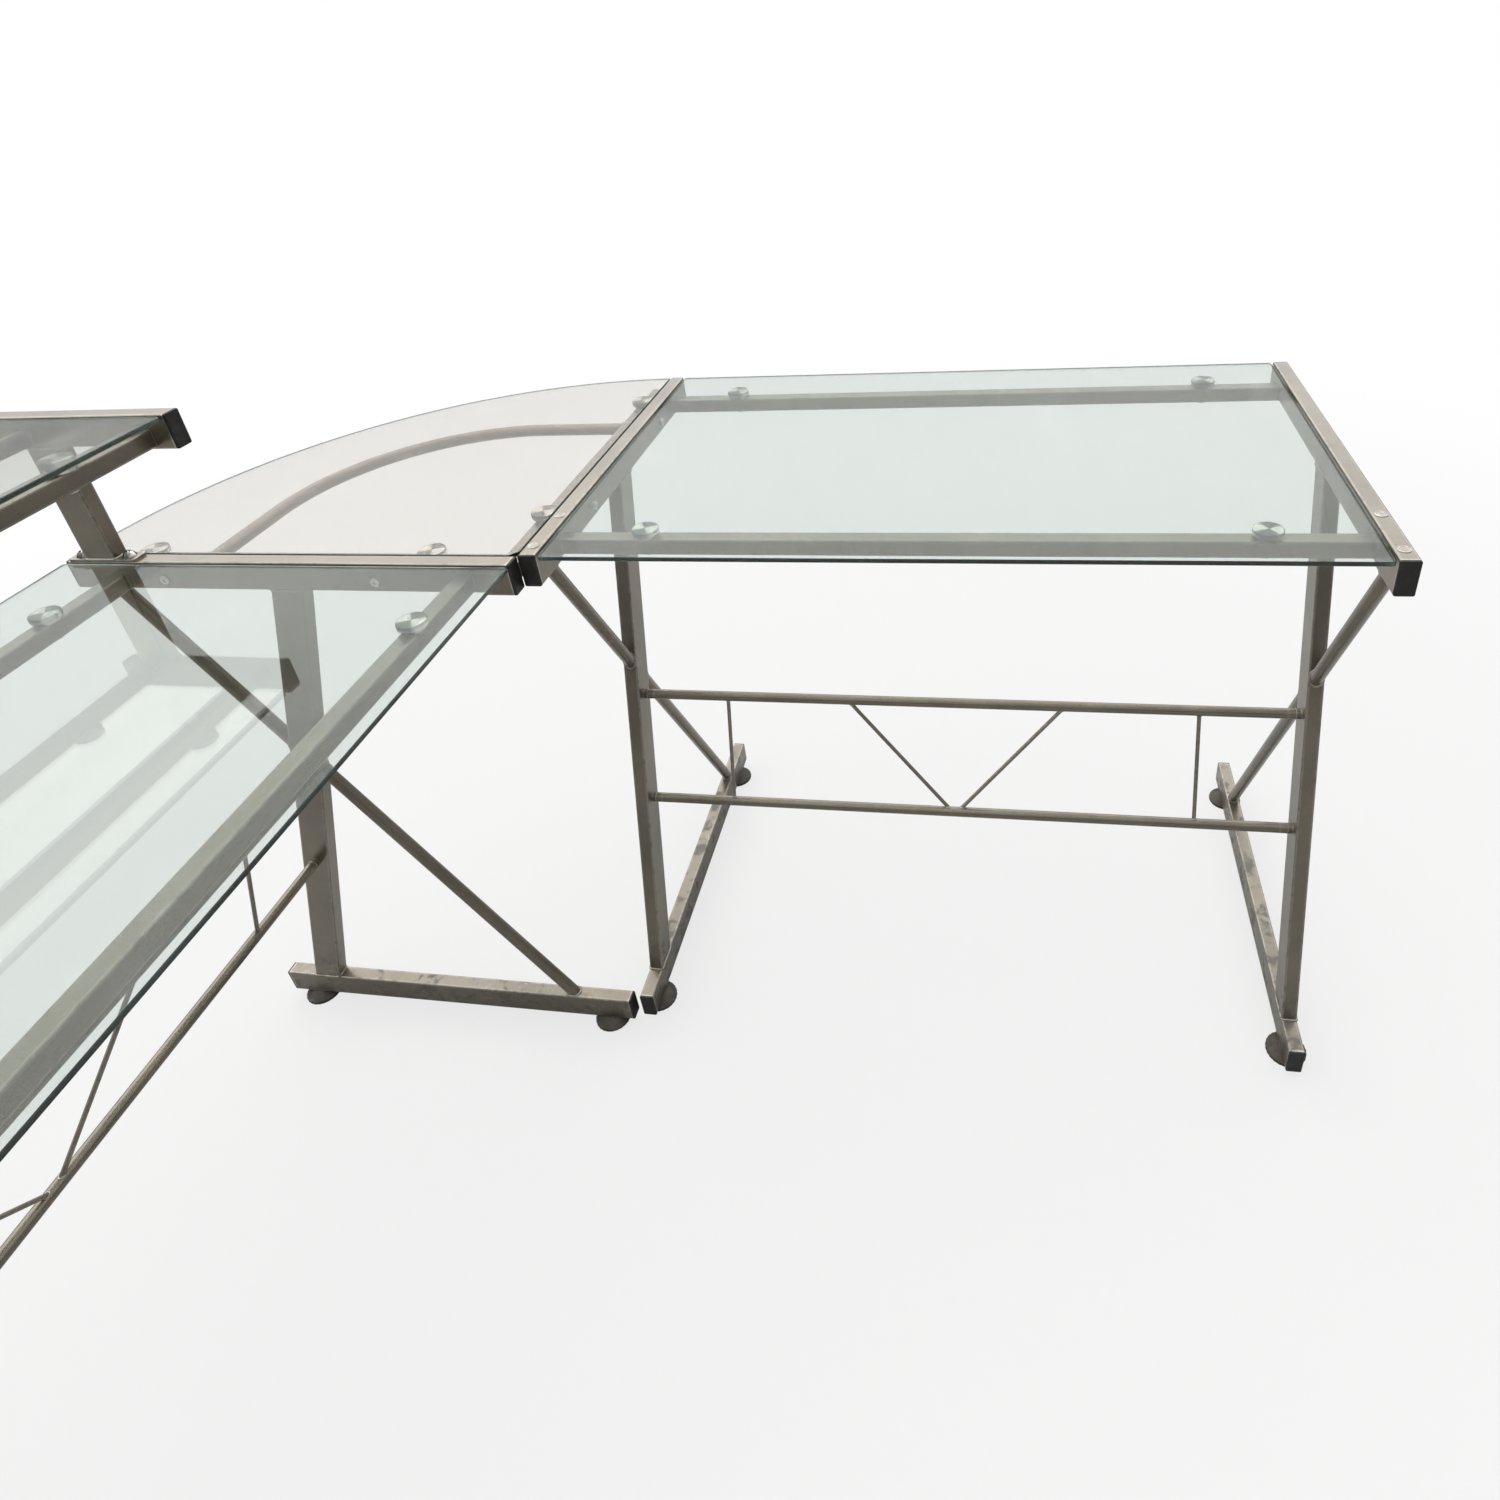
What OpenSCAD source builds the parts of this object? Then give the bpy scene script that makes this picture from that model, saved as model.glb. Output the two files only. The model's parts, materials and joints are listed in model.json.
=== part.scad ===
// Corner desk: two identical glass-topped wings at a right angle, a quarter-round
// glass corner between them, and a raised shelf along the left wing.
// Every side frame is a rectangular-tube rail and foot bar joined by an inclined
// leg and a round strut. Levelling glides screw in and out of the foot bars.
//
// One wing is drawn in its own frame: u runs along the wing from the corner,
// v runs across it from the toe end of its side frames, z is up.
// The right wing has u = +X and v = +Y. The left wing is the same wing turned
// by -90 degrees, so it has u = -Y and v = +X.

/* [Wings] */
// Height of the rail tops above the floor
top_h = 760; // [690:5:920]
// Length of each wing over its side frames
wing_len = 880; // [700:5:1200]
// Depth of each wing over the rail caps
wing_depth = 540; // [450:5:700]

/* [Tube] */
// Width of the rectangular tube
tube_w = 19; // [16:0.5:25]
// Height of the rectangular tube
tube_h = 38; // [30:1:50]
// Wall of every rectangular tube
tube_wall = 1.5; // [1:0.1:2.5]
// Outer corner radius of every rectangular tube
tube_r = 2; // [1:0.25:3]
// Side of the square tube of the cross rails
cross_side = 19; // [16:0.5:22]
// Diameter of the struts and the corner brace
strut_d = 16; // [12:0.5:18]
// Wall of the round tubes
round_wall = 1.2; // [0.8:0.1:2]

/* [Side frames] */
// How far the foot bar stands ahead of the rail's toe end
foot_lead = 10; // [0:1:40]
// Leg centre line at the underside of the rail, from the toe end
leg_top_v = 267; // [200:1:320]
// Leg centre line at the top of the foot bar, from the toe end
leg_foot_v = 57; // [40:1:120]
// Strut centre line at the underside of the rail, from the toe end
strut_top_v = 42; // [30:1:80]
// Strut centre line at the top of the foot bar, from the heel end
strut_foot_inset = 97; // [60:1:140]
// Visible thickness of an end cap
cap_t = 3; // [2:0.5:5]
// Depth of an end cap's plug inside its tube
cap_plug = 10; // [6:1:11]

/* [Glides] */
// Gap between the floor and the foot bars
glide_h = 12; // [9:0.5:20]
// Diameter of a glide's disc
glide_d = 50; // [36:1:60]
// Distance of each glide from its end of the foot bar
glide_inset = 38; // [30:1:60]
// Diameter of the glide's stud
stud_d = 10; // [6:0.5:10]
// Length of stud inside the foot bar when screwed home
stud_in = 28; // [20:1:32]

/* [Cross rails and glass] */
// Drop from the rail tops to the top of the cross rails
cross_drop = 16; // [14:1:24]
// Toe-side cross rail's centre line from the toe end
cross_toe = 68; // [40:1:110]
// Heel-side cross rail's centre line from the heel end
cross_heel = 55; // [40:1:110]
// Thickness of every glass sheet
glass_t = 5; // [4:0.5:6]
// Drop from the rail tops to the top of the glass
glass_drop = 1; // [0:0.5:3]
// Gap between glass edges and the rails beside them
glass_gap = 2.5; // [1:0.5:5]
// Radius of the glass corners
glass_r = 4; // [2:1:10]
// Diameter of a glass pad
pad_d = 30; // [22:1:34]
// Distance of the glass pads from the ends of the wing
pad_inset = 118; // [80:1:200]

/* [Truss] */
// Height of the upper truss tube
truss_upper_h = 440; // [380:5:520]
// Height of the lower truss tube
truss_lower_h = 294; // [200:5:340]
// Diameter of the truss tubes
truss_d = 13; // [10:0.5:16]
// Diameter of the truss rods
rod_d = 5; // [4:0.5:8]
// Distance of the upright rods from the ends of the wing
rod_inset = 137; // [100:1:200]
// Half the spread of the V rods at the upper tube
v_spread = 140; // [80:1:180]

/* [Corner] */
// Gap between a corner bar and the rail it is bolted to
bar_gap = 8.5; // [8:0.5:14]
// How far short of the wing's depth each corner bar stops
bar_end_inset = 15; // [5:1:40]
// Brace tube's distance from the corner, short of the wing's depth
brace_inset = 145; // [100:1:180]
// Centre-line radius of the brace tube's bend
brace_bend_r = 250; // [150:5:300]
// Corner pad nearest the inner corner
corner_pad_near = 109; // [80:1:160]
// Corner pad farthest from the inner corner, short of the wing's depth
corner_pad_far = 83; // [60:1:110]
// Corner bolt nearest the inner corner
corner_bolt_near = 160; // [150:1:220]
// Corner bolt farthest from the inner corner, short of the wing's depth
corner_bolt_far = 120; // [112:1:135]
// Diameter of the spacer on each corner bolt
spacer_d = 14; // [12:1:18]

/* [Shelf] */
// Height of the shelf's rail tops above the wing's rail tops
shelf_rise = 173; // [120:1:260]
// Depth of the shelf
shelf_depth = 214; // [180:1:300]
// Distance of the post's centre from the rail's toe end
post_v = 48; // [44:1:60]
// Shelf cross rails' distance from the shelf's edges
shelf_cross_inset = 33.5; // [30:0.5:60]
// Length of the post's base plate along the rail
plate_len = 86; // [84:1:88]
// Distance of the base plate's screws from its ends
plate_screw_inset = 13; // [11:0.5:13.5]
// Thickness of the base plate
plate_t = 3; // [2:0.5:5]

/* [Fasteners] */
// Shank diameter of every bolt and screw
bolt_d = 6; // [5:0.5:6]
// Head diameter of the frame bolts
bolt_head_d = 11; // [10:0.5:13]
// Head height of the frame bolts
bolt_head_h = 3; // [2:0.5:4]
// Head diameter of the shelf's domed screws
dome_d = 15; // [12:0.5:15]
// Head height of the shelf's domed screws
dome_h = 7; // [5:0.5:7.5]
// Diameter of the plugs in the rail tops
plug_d = 13; // [10:0.5:14]
// First plug from the toe end of the rail
plug_first_v = 22; // [20.5:0.5:26]
// Second plug from the toe end of the rail
plug_second_v = 92; // [84:1:120]

/* [Hidden] */
$fn = 48;

// Clearances between fitted pieces
shank_clear = 0.3;
plug_clear = 0.25;
stud_clear = 0.35;
seat_clear = 0.3;

// How far a cut runs past the face that it opens, and how deep joined shapes run into each other
over = 1;
bite = 0.5;

// Heights
rail_z = top_h - tube_h;
foot_z = glide_h;
foot_top = foot_z + tube_h;
cross_top = top_h - cross_drop;
cross_z = cross_top - cross_side;
bolt_z = cross_z + cross_side / 2;
glass_top = top_h - glass_drop;
glass_z = glass_top - glass_t;
pad_h = glass_z - cross_top;
shelf_top = top_h + shelf_rise;
shelf_rail_z = shelf_top - tube_h;
shelf_cross_top = shelf_top - cross_drop;
shelf_cross_z = shelf_cross_top - cross_side;
shelf_bolt_z = shelf_cross_z + cross_side / 2;
shelf_glass_z = shelf_top - glass_drop - glass_t;

// Places across a wing
mid_u = tube_w / 2;
cross_toe_v = cross_toe;
cross_heel_v = wing_depth - cross_heel;
foot_v = -foot_lead;
glide_toe_v = foot_v + glide_inset;
glide_heel_v = foot_v + wing_depth - glide_inset;
strut_foot_v = wing_depth - strut_foot_inset;
shelf_back_v = shelf_cross_inset;
shelf_front_v = shelf_depth - shelf_cross_inset;
plate_toe_v = post_v - plate_len / 2;
plate_screw_v = [plate_toe_v + plate_screw_inset, plate_toe_v + plate_len - plate_screw_inset];

// Slope of the leg and of the strut
leg_rise = rail_z - foot_top;
leg_angle = atan((leg_top_v - leg_foot_v) / leg_rise);
strut_angle = atan((strut_foot_v - strut_top_v) / leg_rise);
function leg_v(z) = leg_foot_v + (leg_top_v - leg_foot_v) * (z - foot_top) / leg_rise;

// Truss
truss_u = tube_w;
truss_len = wing_len - 2 * tube_w;
upper_v = leg_v(truss_upper_h);
lower_v = leg_v(truss_lower_h);

// Corner, measured from the inner corner
bar_near = bar_gap;
bar_far = bar_gap + cross_side;
bar_mid = bar_gap + cross_side / 2;
bar_end = wing_depth - bar_end_inset;
brace_at = wing_depth - brace_inset;
corner_pads = [corner_pad_near, wing_depth - corner_pad_far];
corner_bolts = [corner_bolt_near, wing_depth - corner_bolt_far];

// Glide: height of its straight rim, radius of its neck, and the sizes of its soft edges
glide_rim = glide_h * 0.35;
glide_neck_r = stud_d / 2 + 6;
glide_edge = 1;
glide_shoulder = 3;
glide_shoulder_h = 2;
glide_neck_h = 2.5;

// Threaded boss in the foot bar
boss_d = tube_w - tube_wall;
boss_h = 16;

// Frame bolts: thread beyond the tube, wall it is tapped into, and the hexagon socket
bolt_grip = 12;
bolt_end_wall = 5;
bolt_hole_d = bolt_d + 2 * shank_clear;
socket_d = bolt_d * 0.66;
socket_h = bolt_head_h * 0.6;
truss_plug_len = bolt_grip + 3;

// Glass pad: its narrow foot, the edge under the glass, and the depth of its screw hole
pad_foot_h = pad_h * 0.3;
pad_foot_d = pad_d * 0.8;
pad_edge = 1.5;
pad_hole_h = pad_h * 0.6;
pad_screw_h = pad_h * 0.5;
pad_screw_head_h = 2.5;
pad_screw_head_d = bolt_head_d - 1;

// Dome screw and rail plug
dome_screw_run = 6;
plug_lip = 0.8;
plug_bevel = 0.6;
plug_stem_d = plug_d - 3;
plug_stem_run = 3;

// Half the space between the V rods where they meet the lower tube
v_gap = rod_d * 0.7;

// Corner radii of the cap plugs and of the base plate, and the cut corner of the corner glass
cap_plug_r = 1;
plate_r = 3;
corner_cut = glass_r * 3;

// The origin is on the floor under the middle of the desk's outer box
box_low_x = -wing_depth - foot_lead;
box_high_x = wing_len - mid_u + glide_d / 2;
box_low_y = -box_high_x;
box_high_y = wing_depth;
centre_x = (box_low_x + box_high_x) / 2;
centre_y = (box_low_y + box_high_y) / 2;

// Least inner corner radius of a tube, and a size larger than the desk
inner_r_least = 0.3;
far = 2000;

// ---- placing ----

module desk() {
    translate([-centre_x, -centre_y, 0])
        children();
}

module right_wing() {
    desk() children();
}

module left_wing() {
    desk()
        translate([-wing_depth, 0, 0])
            rotate([0, 0, -90])
                children();
}

// The outer side frame is the inner one moved to the far end of the wing
module outer() {
    translate([wing_len - tube_w, 0, 0])
        children();
}

// ---- profiles ----

module steel() {
    color([0.66, 0.63, 0.57])
        children();
}

module black() {
    color([0.08, 0.08, 0.08])
        children();
}

module bright() {
    color([0.85, 0.85, 0.84])
        children();
}

module clear() {
    color([0.75, 0.9, 0.85, 0.4])
        children();
}

// Rectangle with rounded corners, its low corner at the origin
module round_rect(w, h, r) {
    translate([r, 0])
        square([w - 2 * r, h]);
    translate([0, r])
        square([w, h - 2 * r]);
    for (x = [r, w - r], y = [r, h - r])
        translate([x, y])
            circle(r);
}

// Outline of a tube's section, its low corner at the origin
module tube_section(w, h) {
    difference() {
        round_rect(w, h, tube_r);
        translate([tube_wall, tube_wall])
            round_rect(w - 2 * tube_wall, h - 2 * tube_wall, max(tube_r - tube_wall, inner_r_least));
    }
}

// Section of the round tube of the struts and the brace, centred
module round_section() {
    difference() {
        circle(d = strut_d);
        circle(d = strut_d - 2 * round_wall);
    }
}

// A section in u and z, run along v
module along_v(length) {
    translate([0, length, 0])
        rotate([90, 0, 0])
            linear_extrude(length)
                children();
}

// A section in v and z, run along u
module along_u(length) {
    rotate([90, 0, 90])
        linear_extrude(length)
            children();
}

// A hole or shank along u at a place in v and z
module rod_u(u, length, v, z, d) {
    translate([u, v, z])
        rotate([0, 90, 0])
            cylinder(h = length, d = d);
}

module rod_z(u, v, z, length, d) {
    translate([u, v, z])
        cylinder(h = length, d = d);
}

// ---- side frame ----

// Rail along v. holes_v are bolt holes through both sides, top_v are holes in its top
module rail(holes_v, top_v, top_hole_d) {
    steel()
        difference() {
            translate([0, cap_t, rail_z])
                along_v(wing_depth - 2 * cap_t)
                    tube_section(tube_w, tube_h);
            for (v = holes_v)
                rod_u(-over, tube_w + 2 * over, v, bolt_z, bolt_hole_d);
            for (v = top_v)
                rod_z(mid_u, v, top_h - tube_wall - over, tube_wall + 2 * over, top_hole_d);
        }
}

// Slanted box in v and z around a centre line that leans towards +v as it rises
module leaning_tube(section_w, section_h, hollow) {
    translate([mid_u, leg_foot_v, foot_top])
        rotate([-leg_angle, 0, 0])
            translate([-section_w / 2, -section_h / 2, -tube_h])
                linear_extrude(leg_rise + 4 * tube_h)
                    if (hollow)
                        tube_section(section_w, section_h);
                    else
                        square([section_w, section_h]);
}

// Space between the foot bar's top and the rail's underside
module between_bars() {
    translate([-far / 2, -far / 2, foot_top])
        cube([far, far, leg_rise]);
}

module leg() {
    steel()
        difference() {
            intersection() {
                leaning_tube(tube_w, tube_h, true);
                between_bars();
            }
            for (z = [truss_upper_h, truss_lower_h])
                rod_u(-over, tube_w + 2 * over, leg_v(z), z, bolt_hole_d);
        }
}

// Upper and lower strut on one line, cut where they meet the leg
module struts() {
    steel()
        difference() {
            intersection() {
                translate([mid_u, strut_top_v, rail_z])
                    rotate([180 + strut_angle, 0, 0])
                        translate([0, 0, -2 * strut_d])
                            linear_extrude(leg_rise * 1.5)
                                round_section();
                between_bars();
            }
            leaning_tube(tube_w + 2 * over, tube_h, false);
        }
}

// Foot bar along v, with a threaded boss inside it above each glide
module foot() {
    steel()
        difference() {
            union() {
                translate([0, foot_v + cap_t, foot_z])
                    along_v(wing_depth - 2 * cap_t)
                        tube_section(tube_w, tube_h);
                for (v = [glide_toe_v, glide_heel_v])
                    rod_z(mid_u, v, foot_z + tube_wall / 2, boss_h, boss_d);
            }
            for (v = [glide_toe_v, glide_heel_v])
                rod_z(mid_u, v, foot_z - over, tube_wall / 2 + boss_h + 2 * over, stud_d + 2 * stud_clear);
        }
}

// Cap on a tube end that faces -v, with its outer face at v = 0
module cap() {
    inner_w = tube_w - 2 * (tube_wall + plug_clear);
    inner_h = tube_h - 2 * (tube_wall + plug_clear);
    along_v(cap_t)
        round_rect(tube_w, tube_h, tube_r);
    translate([tube_wall + plug_clear, cap_t, tube_wall + plug_clear])
        along_v(cap_plug)
            round_rect(inner_w, inner_h, cap_plug_r);
}

// Caps at both ends of a tube that runs along v from v0
module cap_pair(v0, length, z) {
    black() {
        translate([0, v0, z])
            cap();
        translate([0, v0 + length, z])
            mirror([0, 1, 0])
                cap();
    }
}

module frame_caps() {
    cap_pair(0, wing_depth, rail_z);
    cap_pair(foot_v, wing_depth, foot_z);
}

// Disc with a domed top and a threaded stud that goes up into the foot bar
module glide(v) {
    top = glide_h - seat_clear;
    black()
        translate([mid_u, v, 0]) {
            rotate_extrude()
                polygon([
                    [0, 0],
                    [glide_d / 2 - glide_edge, 0],
                    [glide_d / 2, glide_edge],
                    [glide_d / 2, glide_rim],
                    [glide_d / 2 - glide_shoulder, glide_rim + glide_shoulder_h],
                    [glide_neck_r + glide_shoulder, top - glide_neck_h],
                    [glide_neck_r, top],
                    [0, top]
                ]);
            translate([0, 0, top - bite])
                cylinder(h = stud_in + seat_clear + bite, d = stud_d);
        }
}

// ---- wing ----

// Square tube along u between the two side frames, with end walls tapped for bolts
module cross_rail_body(v, top, pad_at) {
    low = top - cross_side;
    steel()
        difference() {
            union() {
                translate([tube_w, v - cross_side / 2, low])
                    along_u(truss_len)
                        tube_section(cross_side, cross_side);
                for (u = [tube_w, wing_len - tube_w - bolt_end_wall])
                    translate([u, v - cross_side / 2 + tube_wall / 2, low + tube_wall / 2])
                        cube([bolt_end_wall, cross_side - tube_wall, cross_side - tube_wall]);
            }
            for (u = [tube_w, wing_len - tube_w - bolt_end_wall])
                rod_u(u - over, bolt_end_wall + 2 * over, v, low + cross_side / 2, bolt_hole_d);
            for (u = pad_at)
                rod_z(u, v, low - over, cross_side + 2 * over, bolt_hole_d);
        }
}

module cross_rail(v) {
    cross_rail_body(v, cross_top, [pad_inset, wing_len - pad_inset]);
}

// Round tube along u between the legs, with a tapped plug in each end
module truss_tube(v, z) {
    bore_len = truss_len - 2 * truss_plug_len;
    hole_len = bolt_grip + 2 * over;
    steel()
        difference() {
            rod_u(truss_u, truss_len, v, z, truss_d);
            rod_u(truss_u + truss_plug_len, bore_len, v, z, truss_d - 2 * round_wall);
            rod_u(truss_u - over, hole_len, v, z, bolt_hole_d);
            rod_u(wing_len - truss_u + over - hole_len, hole_len, v, z, bolt_hole_d);
        }
}

// Straight rod between two places on the truss tubes' centre lines
module truss_rod(from_u, to_u) {
    run = [to_u - from_u, lower_v - upper_v, truss_lower_h - truss_upper_h];
    length = norm(run);
    translate([from_u, upper_v, truss_upper_h])
        rotate([0, acos(run[2] / length), atan2(run[1], run[0])])
            cylinder(h = length, d = rod_d);
}

module truss_rods() {
    steel()
        difference() {
            union() {
                truss_rod(rod_inset, rod_inset);
                truss_rod(wing_len - rod_inset, wing_len - rod_inset);
                truss_rod(wing_len / 2 - v_spread, wing_len / 2 - v_gap);
                truss_rod(wing_len / 2 + v_spread, wing_len / 2 + v_gap);
            }
            rod_u(truss_u, truss_len, upper_v, truss_upper_h, truss_d);
            rod_u(truss_u, truss_len, lower_v, truss_lower_h, truss_d);
        }
}

module wing_glass() {
    clear()
        translate([tube_w + glass_gap, 0, glass_z])
            linear_extrude(glass_t)
                round_rect(wing_len - 2 * (tube_w + glass_gap), wing_depth, glass_r);
}

// ---- corner ----

// Quarter disc behind the inner corner, clear of the two rails beside it
module corner_glass() {
    clear()
        desk()
            translate([0, 0, glass_z])
                linear_extrude(glass_t)
                    difference() {
                        intersection() {
                            circle(wing_depth, $fn = 180);
                            translate([-wing_depth, glass_gap])
                                square([wing_depth - glass_gap, wing_depth]);
                        }
                        translate([-glass_gap, glass_gap])
                            rotate(45)
                                square(corner_cut, center = true);
                    }
}

// Square tube from one place to another along +u, closed at its ends
module bar_body(from_u, to_u, pads, bolts) {
    steel()
        difference() {
            union() {
                translate([from_u, bar_near, cross_z])
                    along_u(to_u - from_u)
                        tube_section(cross_side, cross_side);
                for (u = [from_u, to_u - tube_wall])
                    translate([u, bar_near + tube_wall / 2, cross_z + tube_wall / 2])
                        cube([tube_wall, cross_side - tube_wall, cross_side - tube_wall]);
            }
            for (u = pads)
                rod_z(u, bar_mid, cross_z - over, cross_side + 2 * over, bolt_hole_d);
            for (u = bolts)
                translate([u, bar_near - over, bolt_z])
                    rotate([-90, 0, 0])
                        cylinder(h = tube_wall + 2 * over, d = bolt_hole_d);
        }
}

// Puts +u along the left rail, away from the inner corner, and +v away from it
module beside_left_rail() {
    desk()
        mirror([1, 0, 0])
            children();
}

// Puts +u along the right wing's inner rail, away from the inner corner
module beside_right_rail() {
    desk()
        rotate([0, 0, 90])
            children();
}

// Bent tube from the left bar's outer side to the right bar's outer side
module corner_brace() {
    straight = brace_at - brace_bend_r - bar_far;
    bend_x = -brace_at + brace_bend_r;
    bend_y = brace_at - brace_bend_r;
    steel()
        desk()
            translate([0, 0, bolt_z]) {
                translate([-brace_at, bar_far, 0])
                    rotate([-90, 0, 0])
                        linear_extrude(straight)
                            round_section();
                translate([bend_x, bend_y, 0])
                    rotate([0, 0, 90])
                        rotate_extrude(angle = 90, $fn = 96)
                            translate([brace_bend_r, 0])
                                round_section();
                translate([bend_x, brace_at, 0])
                    rotate([0, 90, 0])
                        linear_extrude(straight)
                            round_section();
            }
}

// ---- shelf ----

// Upright tube with a base plate that lies on the wing's rail
module shelf_post() {
    steel()
        difference() {
            union() {
                translate([0, post_v - tube_h / 2, top_h + plate_t])
                    linear_extrude(shelf_rail_z - top_h - plate_t)
                        tube_section(tube_w, tube_h);
                translate([0, post_v - plate_len / 2, top_h])
                    linear_extrude(plate_t)
                        round_rect(tube_w, plate_len, plate_r);
            }
            for (v = plate_screw_v)
                rod_z(mid_u, v, top_h - over, plate_t + 2 * over, bolt_hole_d);
        }
}

module shelf_rail() {
    steel()
        difference() {
            translate([0, cap_t, shelf_rail_z])
                along_v(shelf_depth - 2 * cap_t)
                    tube_section(tube_w, tube_h);
            for (v = [shelf_back_v, shelf_front_v])
                rod_u(-over, tube_w + 2 * over, v, shelf_bolt_z, bolt_hole_d);
        }
}

module shelf_cross_rail(v) {
    cross_rail_body(v, shelf_cross_top, [pad_inset, wing_len - pad_inset]);
}

module shelf_glass() {
    clear()
        translate([tube_w + glass_gap, cap_t, shelf_glass_z])
            linear_extrude(glass_t)
                round_rect(wing_len - 2 * (tube_w + glass_gap), shelf_depth - 2 * cap_t, glass_r);
}

// ---- fasteners and trim ----

// Turned disc with a narrow foot, a bevelled edge under the glass and a tapped hole
module pad() {
    bright()
        difference() {
            rotate_extrude()
                polygon([
                    [0, 0],
                    [pad_foot_d / 2, 0],
                    [pad_foot_d / 2, pad_foot_h],
                    [pad_d / 2, pad_foot_h],
                    [pad_d / 2, pad_h - pad_edge],
                    [pad_d / 2 - pad_edge, pad_h],
                    [0, pad_h]
                ]);
            translate([0, 0, -over])
                cylinder(h = pad_hole_h + over, d = bolt_hole_d);
        }
}

// Screw from under a cross rail up into its pad
module pad_screw() {
    bright() {
        translate([0, 0, -cross_side - pad_screw_head_h])
            cylinder(h = pad_screw_head_h, d = pad_screw_head_d);
        translate([0, 0, -cross_side - bite])
            cylinder(h = bite + cross_side + pad_screw_h, d = bolt_d);
    }
}

// Places of a wing's pads, on top of its cross rails
module at_wing_pads(vs, z) {
    for (u = [pad_inset, wing_len - pad_inset], v = vs)
        translate([u, v, z])
            children();
}

module at_corner_pads() {
    beside_left_rail()
        for (u = corner_pads)
            translate([u, bar_mid, cross_top])
                children();
    beside_right_rail()
        for (u = corner_pads)
            translate([u, bar_mid, cross_top])
                children();
}

module at_all_pads() {
    right_wing()
        at_wing_pads([cross_toe_v, cross_heel_v], cross_top)
            children();
    left_wing()
        at_wing_pads([cross_toe_v, cross_heel_v], cross_top)
            children();
    left_wing()
        at_wing_pads([shelf_back_v, shelf_front_v], shelf_cross_top)
            children();
    at_corner_pads()
        children();
}

// Button-head bolt along +z, its head's underside at the origin
module bolt(grip) {
    bright()
        difference() {
            union() {
                translate([0, 0, -bolt_head_h])
                    cylinder(h = bolt_head_h, d = bolt_head_d);
                translate([0, 0, -bite])
                    cylinder(h = grip + bite, d = bolt_d);
            }
            translate([0, 0, -bolt_head_h - over])
                cylinder(h = socket_h + over, d = socket_d, $fn = 6);
        }
}

// Bolts through both side frames of a wing at one place in v and z
module bolt_pair(v, z) {
    translate([0, v, z])
        rotate([0, 90, 0])
            bolt(tube_w + bolt_grip);
    translate([wing_len, v, z])
        rotate([0, -90, 0])
            bolt(tube_w + bolt_grip);
}

module wing_bolts() {
    bolt_pair(cross_toe_v, bolt_z);
    bolt_pair(cross_heel_v, bolt_z);
    bolt_pair(upper_v, truss_upper_h);
    bolt_pair(lower_v, truss_lower_h);
}

module shelf_bolts() {
    bolt_pair(shelf_back_v, shelf_bolt_z);
    bolt_pair(shelf_front_v, shelf_bolt_z);
}

// Bolts from inside a wing's inner rail, through the spacers, into the corner bar
module corner_bolt_row() {
    for (u = corner_bolts)
        translate([u, -tube_w, bolt_z])
            rotate([-90, 0, 0])
                bolt(tube_w + bar_gap + bolt_grip);
}

module frame_bolts() {
    right_wing()
        wing_bolts();
    left_wing()
        wing_bolts();
    left_wing()
        shelf_bolts();
    beside_left_rail()
        corner_bolt_row();
    beside_right_rail()
        corner_bolt_row();
}

module spacer_row() {
    for (u = corner_bolts)
        translate([u, 0, bolt_z])
            rotate([-90, 0, 0])
                difference() {
                    cylinder(h = bar_gap, d = spacer_d);
                    translate([0, 0, -over])
                        cylinder(h = bar_gap + 2 * over, d = bolt_hole_d);
                }
}

module corner_spacers() {
    steel() {
        beside_left_rail()
            spacer_row();
        beside_right_rail()
            spacer_row();
    }
}

// Domed screw through the base plate into the rail
module dome_screw() {
    bright() {
        rotate_extrude()
            intersection() {
                translate([0, dome_h - dome_d / 2])
                    circle(dome_d / 2);
                square([dome_d, dome_h]);
            }
        translate([0, 0, -plate_t - tube_wall - dome_screw_run])
            cylinder(h = plate_t + tube_wall + dome_screw_run + bite, d = bolt_d);
    }
}

module shelf_screws() {
    left_wing()
        for (u = [mid_u, wing_len - mid_u], v = plate_screw_v)
            translate([u, v, top_h + plate_t])
                dome_screw();
}

// Low round plug with a stem that fills the rail's hole
module rail_plug() {
    bright() {
        cylinder(h = plug_lip, d1 = plug_d, d2 = plug_d - 2 * plug_bevel);
        translate([0, 0, -tube_wall - plug_stem_run])
            cylinder(h = tube_wall + plug_stem_run + plug_lip / 2, d = plug_stem_d);
    }
}

module rail_plugs() {
    right_wing()
        for (u = [mid_u, wing_len - mid_u], v = [plug_first_v, plug_second_v])
            translate([u, v, top_h])
                rail_plug();
}

// Hole places of the four rails
rail_bolts_v = [cross_toe_v, cross_heel_v];
right_corner_bolts_v = corner_bolts;
left_corner_bolts_v = [for (b = corner_bolts) wing_depth - b];
plug_holes_v = [plug_first_v, plug_second_v];
plug_hole_d = plug_stem_d + 2 * plug_clear;

// ---- nodes ----

right_wing() rail(concat(rail_bolts_v, right_corner_bolts_v), plug_holes_v, plug_hole_d);  // right_inner_rail
right_wing() leg();  // right_inner_leg
right_wing() struts();  // right_inner_struts
right_wing() foot();  // right_inner_foot
right_wing() frame_caps();  // right_inner_caps
right_wing() glide(glide_toe_v);  // right_inner_toe_glide
right_wing() glide(glide_heel_v);  // right_inner_heel_glide

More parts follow.
